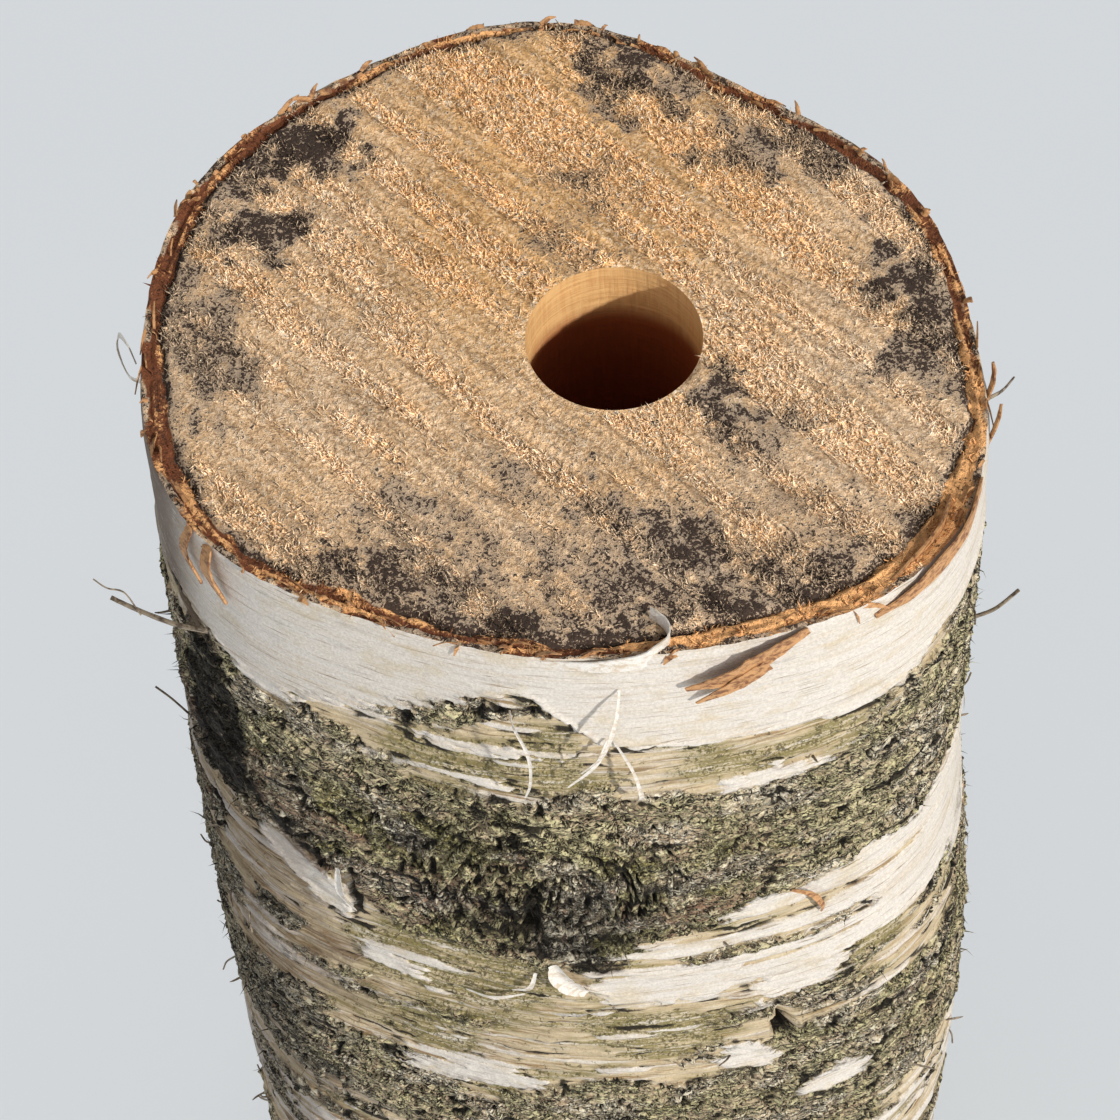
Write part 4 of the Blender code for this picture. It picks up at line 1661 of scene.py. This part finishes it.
@dataclass
class Studio:
    """The floor, the lights and the camera.

    Attributes:
        form: The log's outline.
        sink: How far below the top the camera aims, in millimetres.
        aside: How far to the side of the outline's middle it aims.
        distance: How far away the camera is, in metres.
        elevation: How steeply it looks down, in degrees.
        roll: How far it leans, in degrees.
        lens: Its focal length on a 36 mm sensor.
        key: The low main light, from the right.
        high_key: A weaker light that brightens the sawn top only.
        fill: The broad light on the shaded side.
        back: The broad light on the far side.
        sky: The strength of the light from all round.
        wash: The strength of the light that falls only on the floor.
    """

    form: LogForm
    sink: float = 48.23
    aside: float = -1.17
    distance: float = 0.5709
    elevation: float = 56.0
    roll: float = -3.17
    lens: float = 138.44
    key: Lamp = Lamp(turn=-46.0, height=24.0, distance=2.4, size=0.09, power=54.0)
    high_key: Lamp = Lamp(turn=-52.0, height=42.0, distance=2.4, size=0.10, power=36.0)
    fill: Lamp = Lamp(turn=-112.0, height=14.0, distance=2.0, size=1.5, power=9.0,
                      colour=(0.96, 0.97, 1.0))
    back: Lamp = Lamp(turn=104.0, height=8.0, distance=2.0, size=1.5, power=10.0,
                      colour=(0.98, 0.98, 1.0))
    sky: float = 0.34
    wash: float = 1.50

    def camera(self) -> None:
        """Places the camera."""
        target = Vector(((self.aside - self.form.centre[0]) * MM, -self.form.centre[1] * MM,
                         (self.form.height - self.sink) * MM))
        high = math.radians(self.elevation)
        back = Vector((0.0, -math.cos(high), math.sin(high)))
        up = Vector((0.0, math.sin(high), math.cos(high)))
        right = Vector((1.0, 0.0, 0.0))
        roll = math.radians(self.roll)
        turned_right = right * math.cos(roll) + up * math.sin(roll)
        turned_up = up * math.cos(roll) - right * math.sin(roll)
        data = bpy.data.cameras.new("camera")
        data.lens, data.sensor_width, data.clip_start = self.lens, 36.0, 0.01
        eye = bpy.data.objects.new("camera", data)
        turn = Matrix((turned_right, turned_up, back)).transposed().to_4x4()
        eye.matrix_world = Matrix.Translation(target + back * self.distance) @ turn
        bpy.context.scene.collection.objects.link(eye)
        bpy.context.scene.camera = eye

    def lamp(self, name: str, lamp: Lamp, lit: list[bpy.types.Object]) -> None:
        """Places one soft disk light, which reaches only some pieces.

        Args:
            name: The light's name.
            lamp: Where it stands, and how large and strong it is.
            lit: The pieces that it reaches.
        """
        top = Vector((0.0, 0.0, (self.form.height - 20.0) * MM))
        turn, high = math.radians(lamp.turn), math.radians(lamp.height)
        way = Vector((math.cos(turn) * math.cos(high), math.sin(turn) * math.cos(high), math.sin(high)))
        data = bpy.data.lights.new(name, "AREA")
        data.shape, data.size, data.energy, data.color = "DISK", lamp.size, lamp.power, lamp.colour
        made = bpy.data.objects.new(name, data)
        made.location = top + way * lamp.distance
        made.rotation_euler = (-way).to_track_quat("-Z", "Y").to_euler()
        bpy.context.scene.collection.objects.link(made)
        group = bpy.data.collections.new("lit_by_" + name)
        for piece in lit:
            group.objects.link(piece)
        made.light_linking.receiver_collection = group

    def lights(self) -> None:
        """Places the lamps and the soft light from all round."""
        pieces = [piece for piece in bpy.data.objects
                  if piece.get("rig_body") and not piece.get("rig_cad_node")]
        ends = [piece for piece in pieces if piece.name.startswith(("sawn_top", "wood_fuzz"))]
        self.lamp("key", self.key, pieces)
        self.lamp("fill", self.fill, pieces)
        self.lamp("back", self.back, pieces)
        self.lamp("high_key", self.high_key, ends)
        self.floor_light()
        world = bpy.data.worlds.new("soft_light")
        world.use_nodes = True
        ground = world.node_tree.nodes["Background"]
        ground.inputs["Color"].default_value = (0.94, 0.965, 1.0, 1.0)
        ground.inputs["Strength"].default_value = self.sky
        bpy.context.scene.world = world
        bpy.context.scene.view_settings.view_transform = "Standard"

    def floor_light(self) -> None:
        """Lights the floor evenly from above, without shadows and without reaching the log."""
        data = bpy.data.lights.new("floor_wash", "SUN")
        data.energy, data.use_shadow = self.wash, False
        wash = bpy.data.objects.new("floor_wash", data)
        bpy.context.scene.collection.objects.link(wash)
        lit = bpy.data.collections.new("lit_by_wash")
        lit.objects.link(bpy.data.objects["floor"])
        wash.light_linking.receiver_collection = lit

    def floor(self) -> None:
        """Lays the pale floor that the log stands on."""
        half = 3.0
        made = bpy.data.meshes.new("floor")
        corners = [(-half, -half, 0), (half, -half, 0), (half, half, 0), (-half, half, 0)]
        made.from_pydata(corners, [], [(0, 1, 2, 3)])
        made.materials.append(FloorFinish().material())
        ground = bpy.data.objects.new("floor", made)
        bpy.context.scene.collection.objects.link(ground)


def main() -> None:
    """Builds the log's looks in order: bark, sawn ends, hole, fuzz, loose strips, studio."""
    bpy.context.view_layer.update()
    form = LogForm()
    studio = Studio(form)
    studio.camera()

    bark = Bark(form)
    skins = bark.build(BarkFinish().material())
    for number, skin in enumerate(skins):
        name = skin.name.replace("bark", "hairs")
        fluff = Fluff(name, "rough", per_mm2=0.035, length=1.7, thick=0.24, tilt=74.0,
                      seed=HAIR_SEED + number, around=True)
        settle(fluff.grow(skin, skin.data.materials[0]))
    top = SawnTop(form, bark)
    face = top.build(EndGrainFinish("sawn_end_grain").material())
    SawnFoot(form, bark).build(face.data.materials[0])
    DrilledHole(form).build(HoleFinish().material())

    fuzz_finish = EndGrainFinish("wood_fuzz", fuzz=1.3, depth=0.6, stained=0.80,
                                 wood=(0.86, 0.66, 0.45), fresh=(0.85, 0.55, 0.27)).material()
    for number in range(3):
        fluff = Fluff(f"wood_fuzz_{number + 1}", "fluff", per_mm2=3.2, length=0.85, thick=0.23,
                      tilt=68.0, seed=FUZZ_SEED + number)
        settle(fluff.grow(face, fuzz_finish))

    tones = {PeelKind.PAPER: ((0.78, 0.74, 0.68), (0.60, 0.50, 0.38)),
             PeelKind.INNER_BARK: ((0.56, 0.30, 0.13), (0.20, 0.085, 0.04)),
             PeelKind.TWIG: ((0.30, 0.24, 0.17), (0.07, 0.05, 0.035))}
    LooseBark(form).build({kind: PeelFinish(kind, *pair).material() for kind, pair in tones.items()})

    studio.floor()
    studio.lights()


if __name__ == "__main__":
    main()
